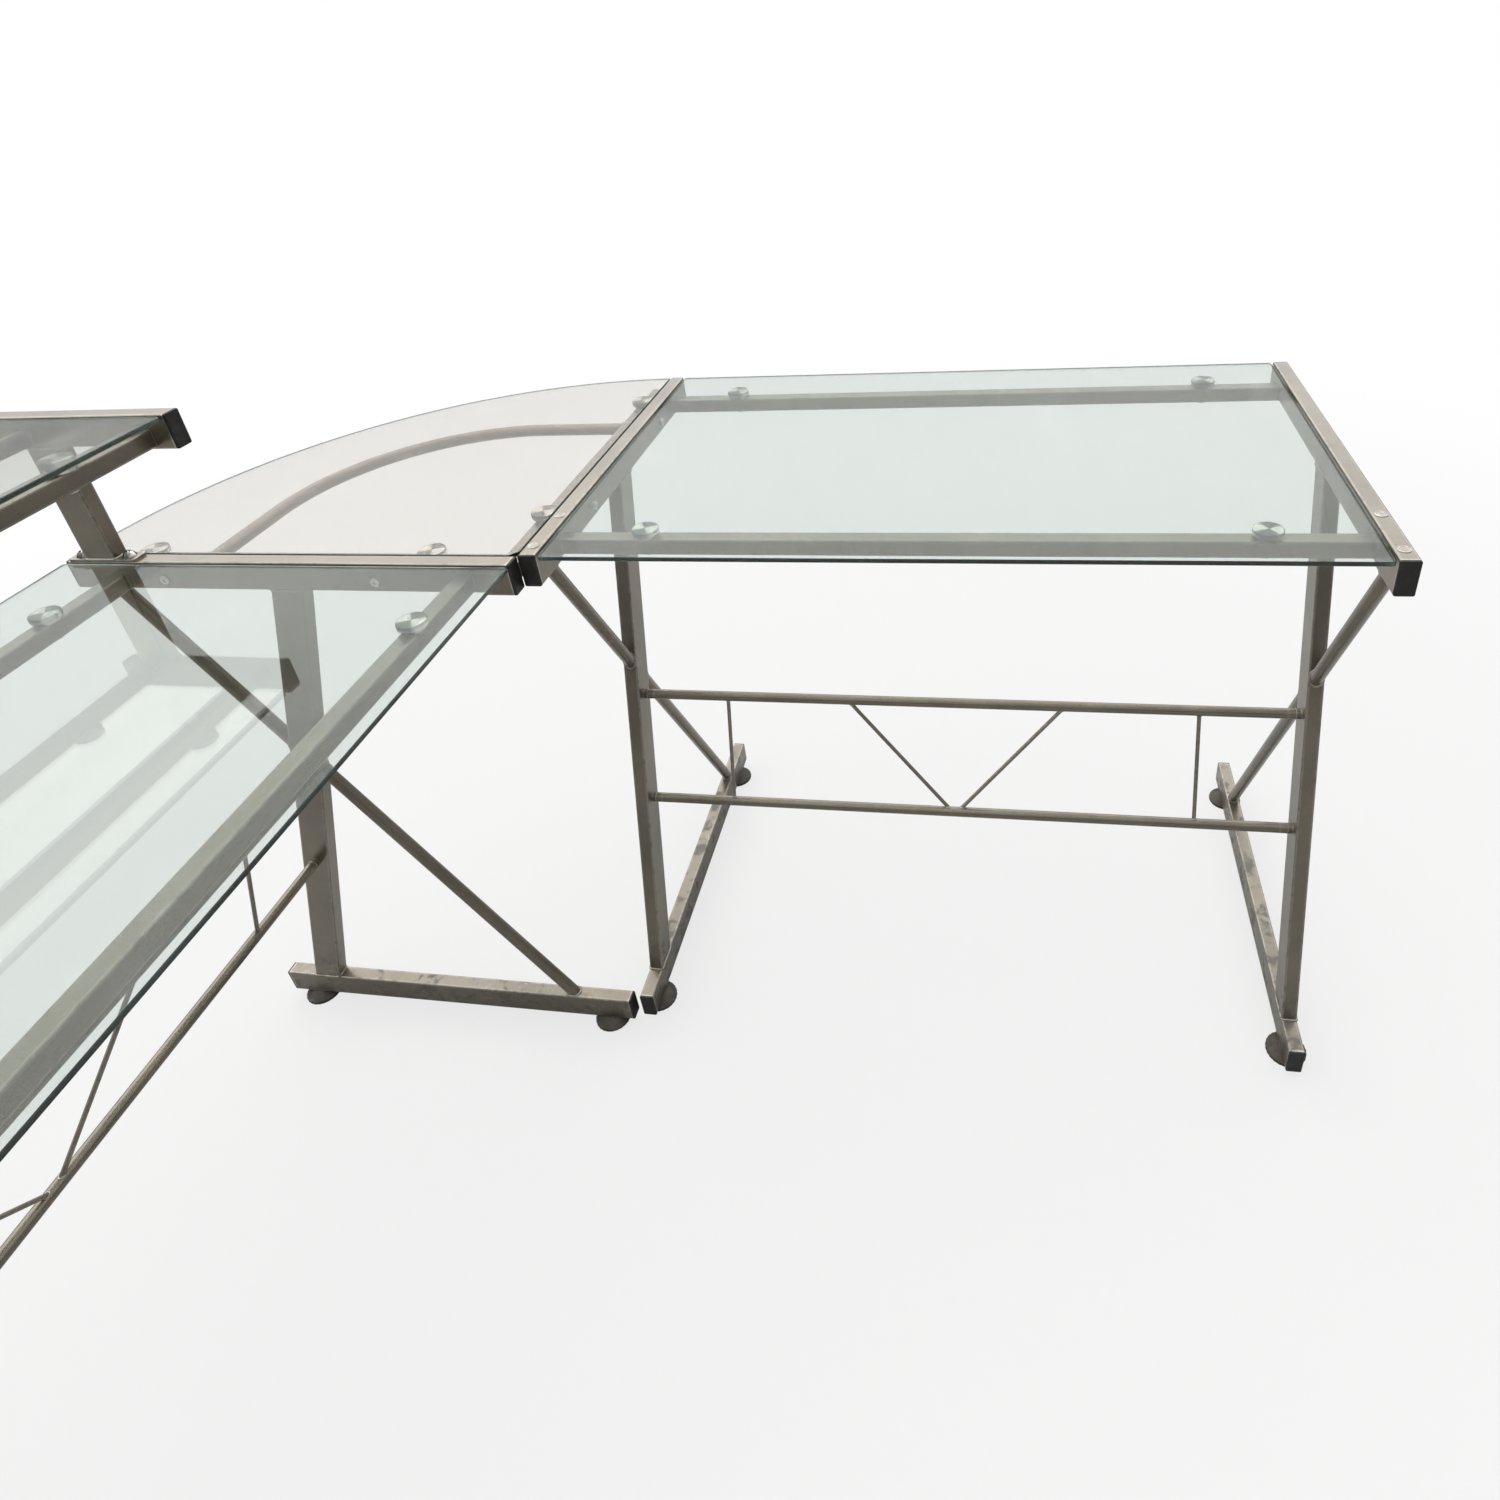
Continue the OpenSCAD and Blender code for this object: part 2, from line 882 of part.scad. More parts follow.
right_wing() outer() rail(rail_bolts_v, plug_holes_v, plug_hole_d);  // right_outer_rail
right_wing() outer() leg();  // right_outer_leg
right_wing() outer() struts();  // right_outer_struts
right_wing() outer() foot();  // right_outer_foot
right_wing() outer() frame_caps();  // right_outer_caps
right_wing() outer() glide(glide_toe_v);  // right_outer_toe_glide
right_wing() outer() glide(glide_heel_v);  // right_outer_heel_glide

left_wing() rail(concat(rail_bolts_v, left_corner_bolts_v), plate_screw_v, bolt_hole_d);  // left_inner_rail
left_wing() leg();  // left_inner_leg
left_wing() struts();  // left_inner_struts
left_wing() foot();  // left_inner_foot
left_wing() frame_caps();  // left_inner_caps
left_wing() glide(glide_toe_v);  // left_inner_toe_glide
left_wing() glide(glide_heel_v);  // left_inner_heel_glide

left_wing() outer() rail(rail_bolts_v, plate_screw_v, bolt_hole_d);  // left_outer_rail
left_wing() outer() leg();  // left_outer_leg
left_wing() outer() struts();  // left_outer_struts
left_wing() outer() foot();  // left_outer_foot
left_wing() outer() frame_caps();  // left_outer_caps
left_wing() outer() glide(glide_toe_v);  // left_outer_toe_glide
left_wing() outer() glide(glide_heel_v);  // left_outer_heel_glide

right_wing() cross_rail(cross_toe_v);  // right_toe_cross_rail
right_wing() cross_rail(cross_heel_v);  // right_heel_cross_rail
right_wing() truss_tube(upper_v, truss_upper_h);  // right_truss_upper
right_wing() truss_tube(lower_v, truss_lower_h);  // right_truss_lower
right_wing() truss_rods();  // right_truss_rods
right_wing() wing_glass();  // right_glass

left_wing() cross_rail(cross_toe_v);  // left_toe_cross_rail
left_wing() cross_rail(cross_heel_v);  // left_heel_cross_rail
left_wing() truss_tube(upper_v, truss_upper_h);  // left_truss_upper
left_wing() truss_tube(lower_v, truss_lower_h);  // left_truss_lower
left_wing() truss_rods();  // left_truss_rods
left_wing() wing_glass();  // left_glass

corner_glass();
beside_right_rail() bar_body(bar_near, bar_end, corner_pads, corner_bolts);  // corner_bar_right
beside_left_rail() bar_body(bar_far, bar_end, corner_pads, corner_bolts);  // corner_bar_left
corner_brace();
corner_spacers();

left_wing() shelf_post();  // shelf_inner_post
left_wing() outer() shelf_post();  // shelf_outer_post
left_wing() shelf_rail();  // shelf_inner_rail
left_wing() outer() shelf_rail();  // shelf_outer_rail
left_wing() shelf_cross_rail(shelf_front_v);  // shelf_front_cross_rail
left_wing() shelf_cross_rail(shelf_back_v);  // shelf_back_cross_rail
left_wing() shelf_glass();
left_wing() {  // shelf_caps
        cap_pair(0, shelf_depth, shelf_rail_z);
        outer() cap_pair(0, shelf_depth, shelf_rail_z);
    }

at_all_pads() pad();  // glass_pads
at_all_pads() pad_screw();  // pad_screws
frame_bolts();
shelf_screws();
rail_plugs();
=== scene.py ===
"""Looks of the corner desk: coated steel frame, clear glass, turned pads, welds, screws and glides."""
import json
import logging
import math
from collections.abc import Callable
from dataclasses import dataclass, field
from enum import Enum

import bmesh
import bpy
import numpy as np
from mathutils import Matrix, Vector

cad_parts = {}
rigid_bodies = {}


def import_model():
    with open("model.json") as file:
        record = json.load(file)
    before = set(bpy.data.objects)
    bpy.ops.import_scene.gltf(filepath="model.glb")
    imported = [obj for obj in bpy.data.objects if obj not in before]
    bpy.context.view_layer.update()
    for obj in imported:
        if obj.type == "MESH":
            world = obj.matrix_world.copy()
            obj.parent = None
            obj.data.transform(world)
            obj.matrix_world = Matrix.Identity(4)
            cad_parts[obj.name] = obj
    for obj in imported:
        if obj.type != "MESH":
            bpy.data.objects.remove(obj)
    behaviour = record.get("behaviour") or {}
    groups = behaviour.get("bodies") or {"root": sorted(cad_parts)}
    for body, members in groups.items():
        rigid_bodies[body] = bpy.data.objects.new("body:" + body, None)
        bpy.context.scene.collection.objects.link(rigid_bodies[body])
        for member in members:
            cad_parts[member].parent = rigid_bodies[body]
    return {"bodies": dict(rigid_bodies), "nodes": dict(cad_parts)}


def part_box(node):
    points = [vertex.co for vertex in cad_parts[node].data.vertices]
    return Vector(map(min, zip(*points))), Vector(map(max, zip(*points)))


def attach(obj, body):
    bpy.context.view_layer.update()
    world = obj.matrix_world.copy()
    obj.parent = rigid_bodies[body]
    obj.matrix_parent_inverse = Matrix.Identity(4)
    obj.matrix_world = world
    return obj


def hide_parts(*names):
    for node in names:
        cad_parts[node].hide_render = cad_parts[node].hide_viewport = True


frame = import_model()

log = logging.getLogger("corner_desk")

MM = 0.001
DESK_BODY = "desk"
TURN_MAP = "turning"
BEAD_RIPPLE = 0.16
BEAD_SWAY = 0.1
BEAD_SIDES = 10
CLOSE_POINTS = 1e-6
FLAT_EDGE = 1e-7
LEVEL_REACH = 0.01 * MM



def clear_defaults() -> None:
    """Removes every object that isn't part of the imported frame."""
    kept = {item.name for item in (*frame["nodes"].values(), *frame["bodies"].values())}
    for item in list(bpy.data.objects):
        if item.name not in kept:
            bpy.data.objects.remove(item, do_unlink=True)


clear_defaults()
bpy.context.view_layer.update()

# ---------------------------------------------------------------- meshes


@dataclass
class Surface:
    """Points and faces of a mesh part, before it becomes an object.

    Attributes:
        points: corner points, one row each, in metres in the row frame.
        faces: lists of point numbers, one list per face.
        turned: per point, its place in the plane across its own turning axis.
        finish: per face, the number of the finish that it takes.
    """

    points: np.ndarray
    faces: list[list[int]]
    turned: np.ndarray | None = None
    finish: list[int] = field(default_factory=list)

    def moved(self, turn: np.ndarray, shift: np.ndarray) -> "Surface":
        """The same surface, turned by a 3 x 3 matrix and then shifted."""
        return Surface(self.points @ turn.T + shift, self.faces, self.turned, list(self.finish))


def join(parts: list[Surface]) -> Surface:
    """Puts several surfaces into one, without merging any points.

    Args:
        parts: the surfaces to put together.

    Returns:
        One surface with the points and faces of all of them.
    """
    starts = np.cumsum([0] + [len(part.points) for part in parts])
    faces = [
        [corner + int(start) for corner in face] for part, start in zip(parts, starts) for face in part.faces
    ]
    finish = [slot for part in parts for slot in (part.finish or [0] * len(part.faces))]
    turned = [part.turned if part.turned is not None else np.zeros((len(part.points), 2)) for part in parts]
    return Surface(np.vstack([part.points for part in parts]), faces, np.vstack(turned), finish)


def grid_faces(rows: int, columns: int, closed_rows: bool, closed_columns: bool) -> list[list[int]]:
    """Four-sided faces of a grid of points that was flattened row by row.

    Args:
        rows: number of rows of points.
        columns: number of points in a row.
        closed_rows: the last row joins the first.
        closed_columns: the last point of a row joins its first.

    Returns:
        The faces, each with its four point numbers.
    """
    row = np.arange(rows if closed_rows else rows - 1)[:, None]
    column = np.arange(columns if closed_columns else columns - 1)[None, :]
    row_after, column_after = (row + 1) % rows, (column + 1) % columns
    corners = np.stack(
        [
            row * columns + column,
            row * columns + column_after,
            row_after * columns + column_after,
            row_after * columns + column,
        ],
        axis=-1,
    )
    return corners.reshape(-1, 4).tolist()


def lathe(profile: np.ndarray, around: int) -> Surface:
    """A profile turned about the z axis: each point (r, z) goes to (r cos a, r sin a, z) for every angle a.

    Args:
        profile: rows of radius and height, from the outside inwards or the other way.
        around: number of steps round the axis.

    Returns:
        The turned surface, with each point's place across the axis.
    """
    angle = 2 * math.pi * np.arange(around) / around
    radius, height = profile[:, :1], profile[:, 1:]
    level = np.broadcast_to(height, (len(profile), around))
    points = np.stack([radius * np.cos(angle), radius * np.sin(angle), level], axis=-1).reshape(-1, 3)
    return Surface(points, grid_faces(len(profile), around, False, True), points[:, :2].copy())


def rounded_outline(width: float, height: float, radius: float, steps: int) -> np.ndarray:
    """A closed rectangle outline with quarter-circle corners, centred, running anticlockwise.

    Each corner is its centre plus radius times (cos a, sin a), for a over that corner's quarter turn.

    Args:
        width: full size along the first axis.
        height: full size along the second axis.
        radius: corner radius.
        steps: points on each corner.

    Returns:
        The outline's points, one row each.
    """
    quarter = np.linspace(0, math.pi / 2, steps)
    angle = np.concatenate([quarter + k * math.pi / 2 for k in range(4)])
    sign = np.repeat([(1, 1), (-1, 1), (-1, -1), (1, -1)], steps, axis=0)
    centre = sign * np.array([width / 2 - radius, height / 2 - radius])
    return centre + radius * np.column_stack([np.cos(angle), np.sin(angle)])


def ring_outline(radius: float, steps: int) -> np.ndarray:
    """A circle's points, (radius cos a, radius sin a) over one turn."""
    angle = np.linspace(0, 2 * math.pi, steps, endpoint=False)
    return radius * np.column_stack([np.cos(angle), np.sin(angle)])


def inset(outline: np.ndarray, distance: float) -> np.ndarray:
    """Moves a closed anticlockwise outline inwards: each point minus its outward normal times the distance.

    The normal is the direction between a point's two neighbours, turned a quarter turn clockwise.
    """
    tangent = np.roll(outline, -1, 0) - np.roll(outline, 1, 0)
    tangent /= np.linalg.norm(tangent, axis=1, keepdims=True)
    return outline - distance * np.column_stack([tangent[:, 1], -tangent[:, 0]])


def sheet_of_glass(outline: np.ndarray, low: float, high: float, arris: float) -> Surface:
    """A flat sheet whose long edges carry a small 45 degree ground arris.

    Its rings are the outline at full size on the edge and inset by the arris on both faces.

    Args:
        outline: closed anticlockwise outline in x and y.
        low: height of the underside.
        high: height of the top.
        arris: width of the ground corner.

    Returns:
        The sheet. Its faces take finish 0 and its ground edge takes finish 1.
    """
    levels = [(arris, low), (0, low + arris), (0, high - arris), (arris, high)]
    rings = [np.column_stack([inset(outline, cut), np.full(len(outline), z)]) for cut, z in levels]
    count = len(outline)
    edge = grid_faces(len(levels), count, False, True)
    top = [(len(levels) - 1) * count + k for k in range(count)]
    under = list(range(count))[::-1]
    return Surface(np.vstack(rings), edge + [top, under], None, [1] * len(edge) + [0, 0])


def bead(ring: np.ndarray, up: np.ndarray, radius: float, pitch: float, phase: float) -> Surface:
    """A weld bead: a rippled round cord laid along a closed ring.

    A point is ring(s) + r(s) (cos f n + sin f up), where n is the tangent crossed with up, f runs round
    the cord and r(s) = radius (1 + ripple |sin(pi s / pitch + phase)| + sway sin(5 s / (pi pitch))).

    Args:
        ring: closed ring of points.
        up: normal of the plane that the ring lies on.
        radius: mean radius of the cord.
        pitch: length of one ripple.
        phase: where the ripples start.

    Returns:
        The bead, closed both ways.
    """
    tangent = np.roll(ring, -1, 0) - np.roll(ring, 1, 0)
    tangent /= np.linalg.norm(tangent, axis=1, keepdims=True)
    side = np.cross(tangent, up)
    side /= np.linalg.norm(side, axis=1, keepdims=True)
    run = np.concatenate([[0], np.cumsum(np.linalg.norm(np.diff(ring, axis=0), axis=1))])
    ripple = 1 + BEAD_RIPPLE * np.abs(np.sin(math.pi * run / pitch + phase))
    ripple = ripple + BEAD_SWAY * np.sin(5 * run / pitch / math.pi)
    cord = ring_outline(1.0, BEAD_SIDES)
    offset = cord[None, :, :1] * side[:, None, :] + cord[None, :, 1:] * up
    points = ring[:, None, :] + radius * ripple[:, None, None] * offset
    return Surface(points.reshape(-1, 3), grid_faces(len(ring), len(cord), True, True))


def resampled(ring: np.ndarray, count: int) -> np.ndarray:
    """Points at even distances along a closed ring, by straight-line interpolation."""
    closed = np.vstack([ring, ring[:1]])
    run = np.concatenate([[0], np.cumsum(np.linalg.norm(np.diff(closed, axis=0), axis=1))])
    at = np.linspace(0, run[-1], count, endpoint=False)
    return np.column_stack([np.interp(at, run, closed[:, axis]) for axis in range(ring.shape[1])])


def ring_on_plane(centre: np.ndarray, axis: np.ndarray, across: np.ndarray, section: np.ndarray,
                  plane_point: np.ndarray, plane_normal: np.ndarray) -> np.ndarray:
    """Where a tube with this section meets a plane: each section point slid along the tube's axis.

    The slide of a point p is ((plane_point - p) . n) / (axis . n).

    Args:
        centre: any point on the tube's axis.
        axis: unit direction of the tube.
        across: unit direction of the section's first coordinate.
        section: section outline about the axis.
        plane_point: a point of the plane.
        plane_normal: the plane's unit normal.

    Returns:
        The ring where they meet.
    """
    other = np.cross(axis, across)
    ring = centre + section[:, :1] * across + section[:, 1:] * other
    slide = ((plane_point - ring) @ plane_normal) / (axis @ plane_normal)
    return ring + slide[:, None] * axis


def make_object(name: str, surface: Surface, finishes: list[bpy.types.Material],
                smooth_angle: float) -> bpy.types.Object:
    """Makes a mesh object at the origin, with closed seams and outward faces.

    Args:
        name: the piece's name.
        surface: its points and faces.
        finishes: materials, in the order of the surface's finish numbers.
        smooth_angle: edges sharper than this, in degrees, stay sharp.

    Returns:
        The new object.
    """
    mesh = bpy.data.meshes.new(name)
    mesh.from_pydata(surface.points.tolist(), [], surface.faces)
    if surface.finish:
        mesh.polygons.foreach_set("material_index", np.array(surface.finish, np.int32))
    if surface.turned is not None:
        corner = np.zeros(len(mesh.loops), np.int32)
        mesh.loops.foreach_get("vertex_index", corner)
        layer = mesh.uv_layers.new(name=TURN_MAP)
        layer.data.foreach_set("uv", surface.turned[corner].astype(np.float32).ravel())
    close_and_turn_out(mesh)
    mesh.polygons.foreach_set("use_smooth", np.ones(len(mesh.polygons), bool))
    mesh.set_sharp_from_angle(angle=math.radians(smooth_angle))
    for finish in finishes:
        mesh.materials.append(finish)
    piece = bpy.data.objects.new(name, mesh)
    bpy.context.scene.collection.objects.link(piece)
    return piece


def close_and_turn_out(mesh: bpy.types.Mesh) -> None:
    """Merges doubled points, drops faces that collapse at a pole and turns all faces outwards."""
    work = bmesh.new()
    work.from_mesh(mesh)
    bmesh.ops.remove_doubles(work, verts=work.verts, dist=CLOSE_POINTS)
    bmesh.ops.dissolve_degenerate(work, edges=work.edges, dist=FLAT_EDGE)
    bmesh.ops.recalc_face_normals(work, faces=work.faces)
    work.to_mesh(mesh)
    work.free()


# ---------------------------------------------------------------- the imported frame


def node_points(node: str) -> np.ndarray:
    """The points of a CAD node's mesh, in the row frame."""
    mesh = frame["nodes"][node].data
    flat = np.zeros(len(mesh.vertices) * 3, np.float32)
    mesh.vertices.foreach_get("co", flat)
    return flat.reshape(-1, 3).astype(float)


def solids_of(node: str) -> list[np.ndarray]:
    """The points of each separate solid in a grouped CAD node.

    Points at one place share a number. Every edge then gives both its ends the lower of their two
    labels, and this repeats until nothing changes.

    Args:
        node: name of the CAD node.

    Returns:
        One array of points for each solid.
    """
    mesh = frame["nodes"][node].data
    points = node_points(node)
    _, place = np.unique(np.round(points / LEVEL_REACH).astype(np.int64), axis=0, return_inverse=True)
    ends = np.zeros(len(mesh.edges) * 2, np.int32)
    mesh.edges.foreach_get("vertices", ends)
    edges = place.ravel()[ends].reshape(-1, 2)
    label = np.arange(place.max() + 1)
    while True:
        low = np.minimum(label[edges[:, 0]], label[edges[:, 1]])
        after = label.copy()
        np.minimum.at(after, edges[:, 0], low)
        np.minimum.at(after, edges[:, 1], low)
        after = after[after]
        if np.array_equal(after, label):
            break
        label = after
    owner = label[place.ravel()]
    return [points[owner == one] for one in np.unique(owner)]


def box_of(points: np.ndarray) -> tuple[np.ndarray, np.ndarray]:
    """Lowest and highest corner of some points."""
    return points.min(0), points.max(0)


def end_centre(points: np.ndarray, height: float) -> np.ndarray:
    """Middle of the points that lie at one height, within a hundredth of a millimetre."""
    level = points[np.abs(points[:, 2] - height) < LEVEL_REACH]
    return (level.min(0) + level.max(0)) / 2


# ---------------------------------------------------------------- shader tools


class Tree:
    """A node tree with short calls to add and join nodes."""

    def __init__(self, tree: bpy.types.NodeTree) -> None:
        """Keeps the tree and empties it."""
        self.tree = tree
        tree.nodes.clear()

    def add(self, kind: str, settings: dict | None = None, **values: object) -> bpy.types.Node:
        """Adds a node.

        Args:
            kind: the node's type name, without its ShaderNode prefix.
            settings: properties of the node.
            values: input values or sockets to join, by input name, with _ for a space.

        Returns:
            The node.
        """
        node = self.tree.nodes.new("ShaderNode" + kind)
        for name, value in (settings or {}).items():
            setattr(node, name, value)
        for name, value in values.items():
            self.give(node, name.replace("_", " "), value)
        return node

    def give(self, node: bpy.types.Node, name: str | int, value: object) -> None:
        """Sets an input to a value, or joins a socket to it."""
        if isinstance(value, bpy.types.NodeSocket):
            self.tree.links.new(value, node.inputs[name])
        else:
            node.inputs[name].default_value = value

    def maths(self, operation: str, first: object, second: object = 0.0) -> bpy.types.NodeSocket:
        """One sum on two numbers or sockets, not clamped."""
        node = self.add("Math", {"operation": operation})
        self.give(node, 0, first)
        self.give(node, 1, second)
        return node.outputs[0]

    def times(self, first: object, second: object) -> bpy.types.NodeSocket:
        """The first times the second."""
        return self.maths("MULTIPLY", first, second)

    def plus(self, first: object, second: object) -> bpy.types.NodeSocket:
        """The first plus the second."""
        return self.maths("ADD", first, second)

    def minus(self, first: object, second: object) -> bpy.types.NodeSocket:
        """The first minus the second."""
        return self.maths("SUBTRACT", first, second)

    def most(self, first: object, second: object) -> bpy.types.NodeSocket:
        """The larger of two."""
        return self.maths("MAXIMUM", first, second)

    def noise(self, place: bpy.types.NodeSocket, scale: object, detail: float,
              rough: float) -> bpy.types.NodeSocket:
        """Cloudy noise from 0 to 1 at a place."""
        node = self.add("TexNoise", {}, Vector=place, Scale=scale, Detail=detail, Roughness=rough)
        return node.outputs["Fac"]

    def ramp(self, value: bpy.types.NodeSocket, low: float, high: float) -> bpy.types.NodeSocket:
        """A smooth step that is 0 below low and 1 above high."""
        node = self.add("MapRange", {"interpolation_type": "SMOOTHSTEP"})
        self.give(node, "Value", value)
        self.give(node, "From Min", low)
        self.give(node, "From Max", high)
        return node.outputs[0]

    def blend(self, share: object, first: object, second: object) -> bpy.types.NodeSocket:
        """A colour between two colours, by a share from 0 to 1."""
        node = self.add("Mix", {"data_type": "RGBA"})
        self.give(node, 0, share)
        self.give(node, 6, first)
        self.give(node, 7, second)
        return node.outputs[2]

    def level(self, share: object, first: object, second: object) -> bpy.types.NodeSocket:
        """A number between two numbers, by a share from 0 to 1."""
        node = self.add("Mix", {"data_type": "FLOAT"})
        self.give(node, 0, share)
        self.give(node, 2, first)
        self.give(node, 3, second)
        return node.outputs[0]


class Effect(Enum):
    """The effects that several finishes share, each of them a node group."""

    EDGE_WEAR = "edge_wear"
    SCUFFS = "scuffs"
    DUST = "dust_film"
    ORANGE_PEEL = "orange_peel"


class Effects:
    """Builds each shared effect once and places it in materials."""

    def __init__(self) -> None:
        """Builds the four groups."""
        self.groups = {
            Effect.EDGE_WEAR: self.edge_wear(),
            Effect.SCUFFS: self.scuffs(),
            Effect.DUST: self.dust_film(),
            Effect.ORANGE_PEEL: self.orange_peel(),
        }

    @staticmethod
    def open_group(effect: Effect, inputs: dict[str, float],
                   output: str) -> tuple[Tree, bpy.types.Node, bpy.types.NodeSocket]:
        """Starts a group with number inputs and one number output.

        Args:
            effect: which effect it is.
            inputs: input names with their usual values.
            output: name of the output.

        Returns:
            The tree, its input node and the output's socket.
        """
        group = bpy.data.node_groups.new(effect.value, "ShaderNodeTree")
        for name, value in inputs.items():
            socket = group.interface.new_socket(name, in_out="INPUT", socket_type="NodeSocketFloat")
            socket.default_value = value
        group.interface.new_socket(output, in_out="OUTPUT", socket_type="NodeSocketFloat")
        tree = Tree(group)
        start = group.nodes.new("NodeGroupInput")
        finish = group.nodes.new("NodeGroupOutput")
        return tree, start, finish.inputs[0]

    def edge_wear(self) -> bpy.types.NodeTree:
        """Mask of edges rubbed bare: where a rounded normal leaves the true one, broken up by noise."""
        inputs = {"Width": 0.0012, "Amount": 0.5, "Break Scale": 60.0}
        tree, start, out = self.open_group(Effect.EDGE_WEAR, inputs, "Mask")
        soft = tree.add("Bevel", {"samples": 6}, Radius=start.outputs["Width"])
        true = tree.add("NewGeometry")
        both = tree.add("VectorMath", {"operation": "DOT_PRODUCT"})
        tree.give(both, 0, soft.outputs["Normal"])
        tree.give(both, 1, true.outputs["Normal"])
        bend = tree.minus(1.0, both.outputs["Value"])
        place = tree.add("TexCoord")
        noise = tree.noise(place.outputs["Object"], start.outputs["Break Scale"], 5.0, 0.7)
        reach = tree.ramp(bend, 0.004, 0.07)
        gate = tree.minus(tree.plus(noise, start.outputs["Amount"]), 0.62)
        rubbed = tree.times(reach, tree.ramp(gate, 0.0, 0.12))
        tree.tree.links.new(rubbed, out)
        return tree.tree

    def scuffs(self) -> bpy.types.NodeTree:
        """Mask of short scratches: thin bands of stretched noise, kept where a coarse noise is high."""
        inputs = {"Scale": 30.0, "Amount": 0.5, "Stretch": 8.0}
        tree, start, out = self.open_group(Effect.SCUFFS, inputs, "Mask")
        place = tree.add("TexCoord")
        parts = []
        for turn, squeeze in ((0.5, (1.0, 1.0, 0.12)), (1.9, (0.12, 1.0, 1.0)), (2.6, (1.0, 0.12, 1.0))):
            frame_map = tree.add("Mapping", {}, Vector=place.outputs["Object"],
                                 Rotation=(turn, turn * 0.4, turn * 0.7), Scale=squeeze)
            fine = tree.times(start.outputs["Scale"], start.outputs["Stretch"])
            streak = tree.noise(frame_map.outputs[0], fine, 2.0, 0.5)
            off_centre = tree.maths("ABSOLUTE", tree.minus(streak, 0.5))
            parts.append(tree.minus(1.0, tree.ramp(off_centre, 0.002, 0.007)))
        lines = tree.most(tree.most(parts[0], parts[1]), parts[2])
        patch = tree.noise(place.outputs["Object"], start.outputs["Scale"], 4.0, 0.65)
        gate = tree.minus(tree.plus(patch, start.outputs["Amount"]), 1.06)
        tree.tree.links.new(tree.times(lines, tree.ramp(gate, 0.0, 0.08)), out)
        return tree.tree

    def dust_film(self) -> bpy.types.NodeTree:
        """Mask of dust: the upward share of the normal times a soft blotchy noise."""
        tree, start, out = self.open_group(Effect.DUST, {"Scale": 12.0, "Amount": 0.5}, "Mask")
        normal = tree.add("NewGeometry")
        axes = tree.add("SeparateXYZ", {}, Vector=normal.outputs["Normal"])
        place = tree.add("TexCoord")
        blotch = tree.noise(place.outputs["Object"], start.outputs["Scale"], 6.0, 0.7)
        upward = tree.ramp(axes.outputs["Z"], 0.3, 0.95)
        cover = tree.times(tree.ramp(blotch, 0.35, 0.75), start.outputs["Amount"])
        tree.tree.links.new(tree.times(upward, cover), out)
        return tree.tree

    def orange_peel(self) -> bpy.types.NodeTree:
        """Height of sprayed coating: a fine even noise with a finer speck of flake over it."""
        tree, start, out = self.open_group(Effect.ORANGE_PEEL, {"Scale": 700.0, "Fleck": 0.35}, "Height")
        place = tree.add("TexCoord")
        waves = tree.noise(place.outputs["Object"], start.outputs["Scale"], 2.0, 0.5)
        fleck = tree.noise(place.outputs["Object"], tree.times(start.outputs["Scale"], 4.0), 1.0, 0.5)
        both = tree.plus(waves, tree.times(fleck, start.outputs["Fleck"]))
        tree.tree.links.new(both, out)
        return tree.tree

    def place(self, tree: Tree, effect: Effect, **values: float) -> bpy.types.NodeSocket:
        """Puts an effect into a material.

        Args:
            tree: the material's tree.
            effect: which effect.
            values: its inputs, by name with _ for a space.

        Returns:
            The effect's output.
        """
        node = tree.tree.nodes.new("ShaderNodeGroup")
        node.node_tree = self.groups[effect]
        for name, value in values.items():
            tree.give(node, name.replace("_", " "), value)
        return node.outputs[0]


# ---------------------------------------------------------------- finishes

Colour = tuple[float, float, float]


def opaque(colour: Colour) -> tuple[float, float, float, float]:
    """A colour with full cover, as shader sockets take it."""
    return (*colour, 1.0)


def new_material(name: str) -> tuple[bpy.types.Material, Tree]:
    """An empty node material and its tree."""
    material = bpy.data.materials.new(name)
    material.use_nodes = True
    return material, Tree(material.node_tree)


def principled(tree: Tree, **values: object) -> bpy.types.Node:
    """Adds the main shader and joins it to the material's output."""
    shader = tree.add("BsdfPrincipled", {}, **values)
    output = tree.add("OutputMaterial")
    tree.tree.links.new(shader.outputs[0], output.inputs["Surface"])
    return shader


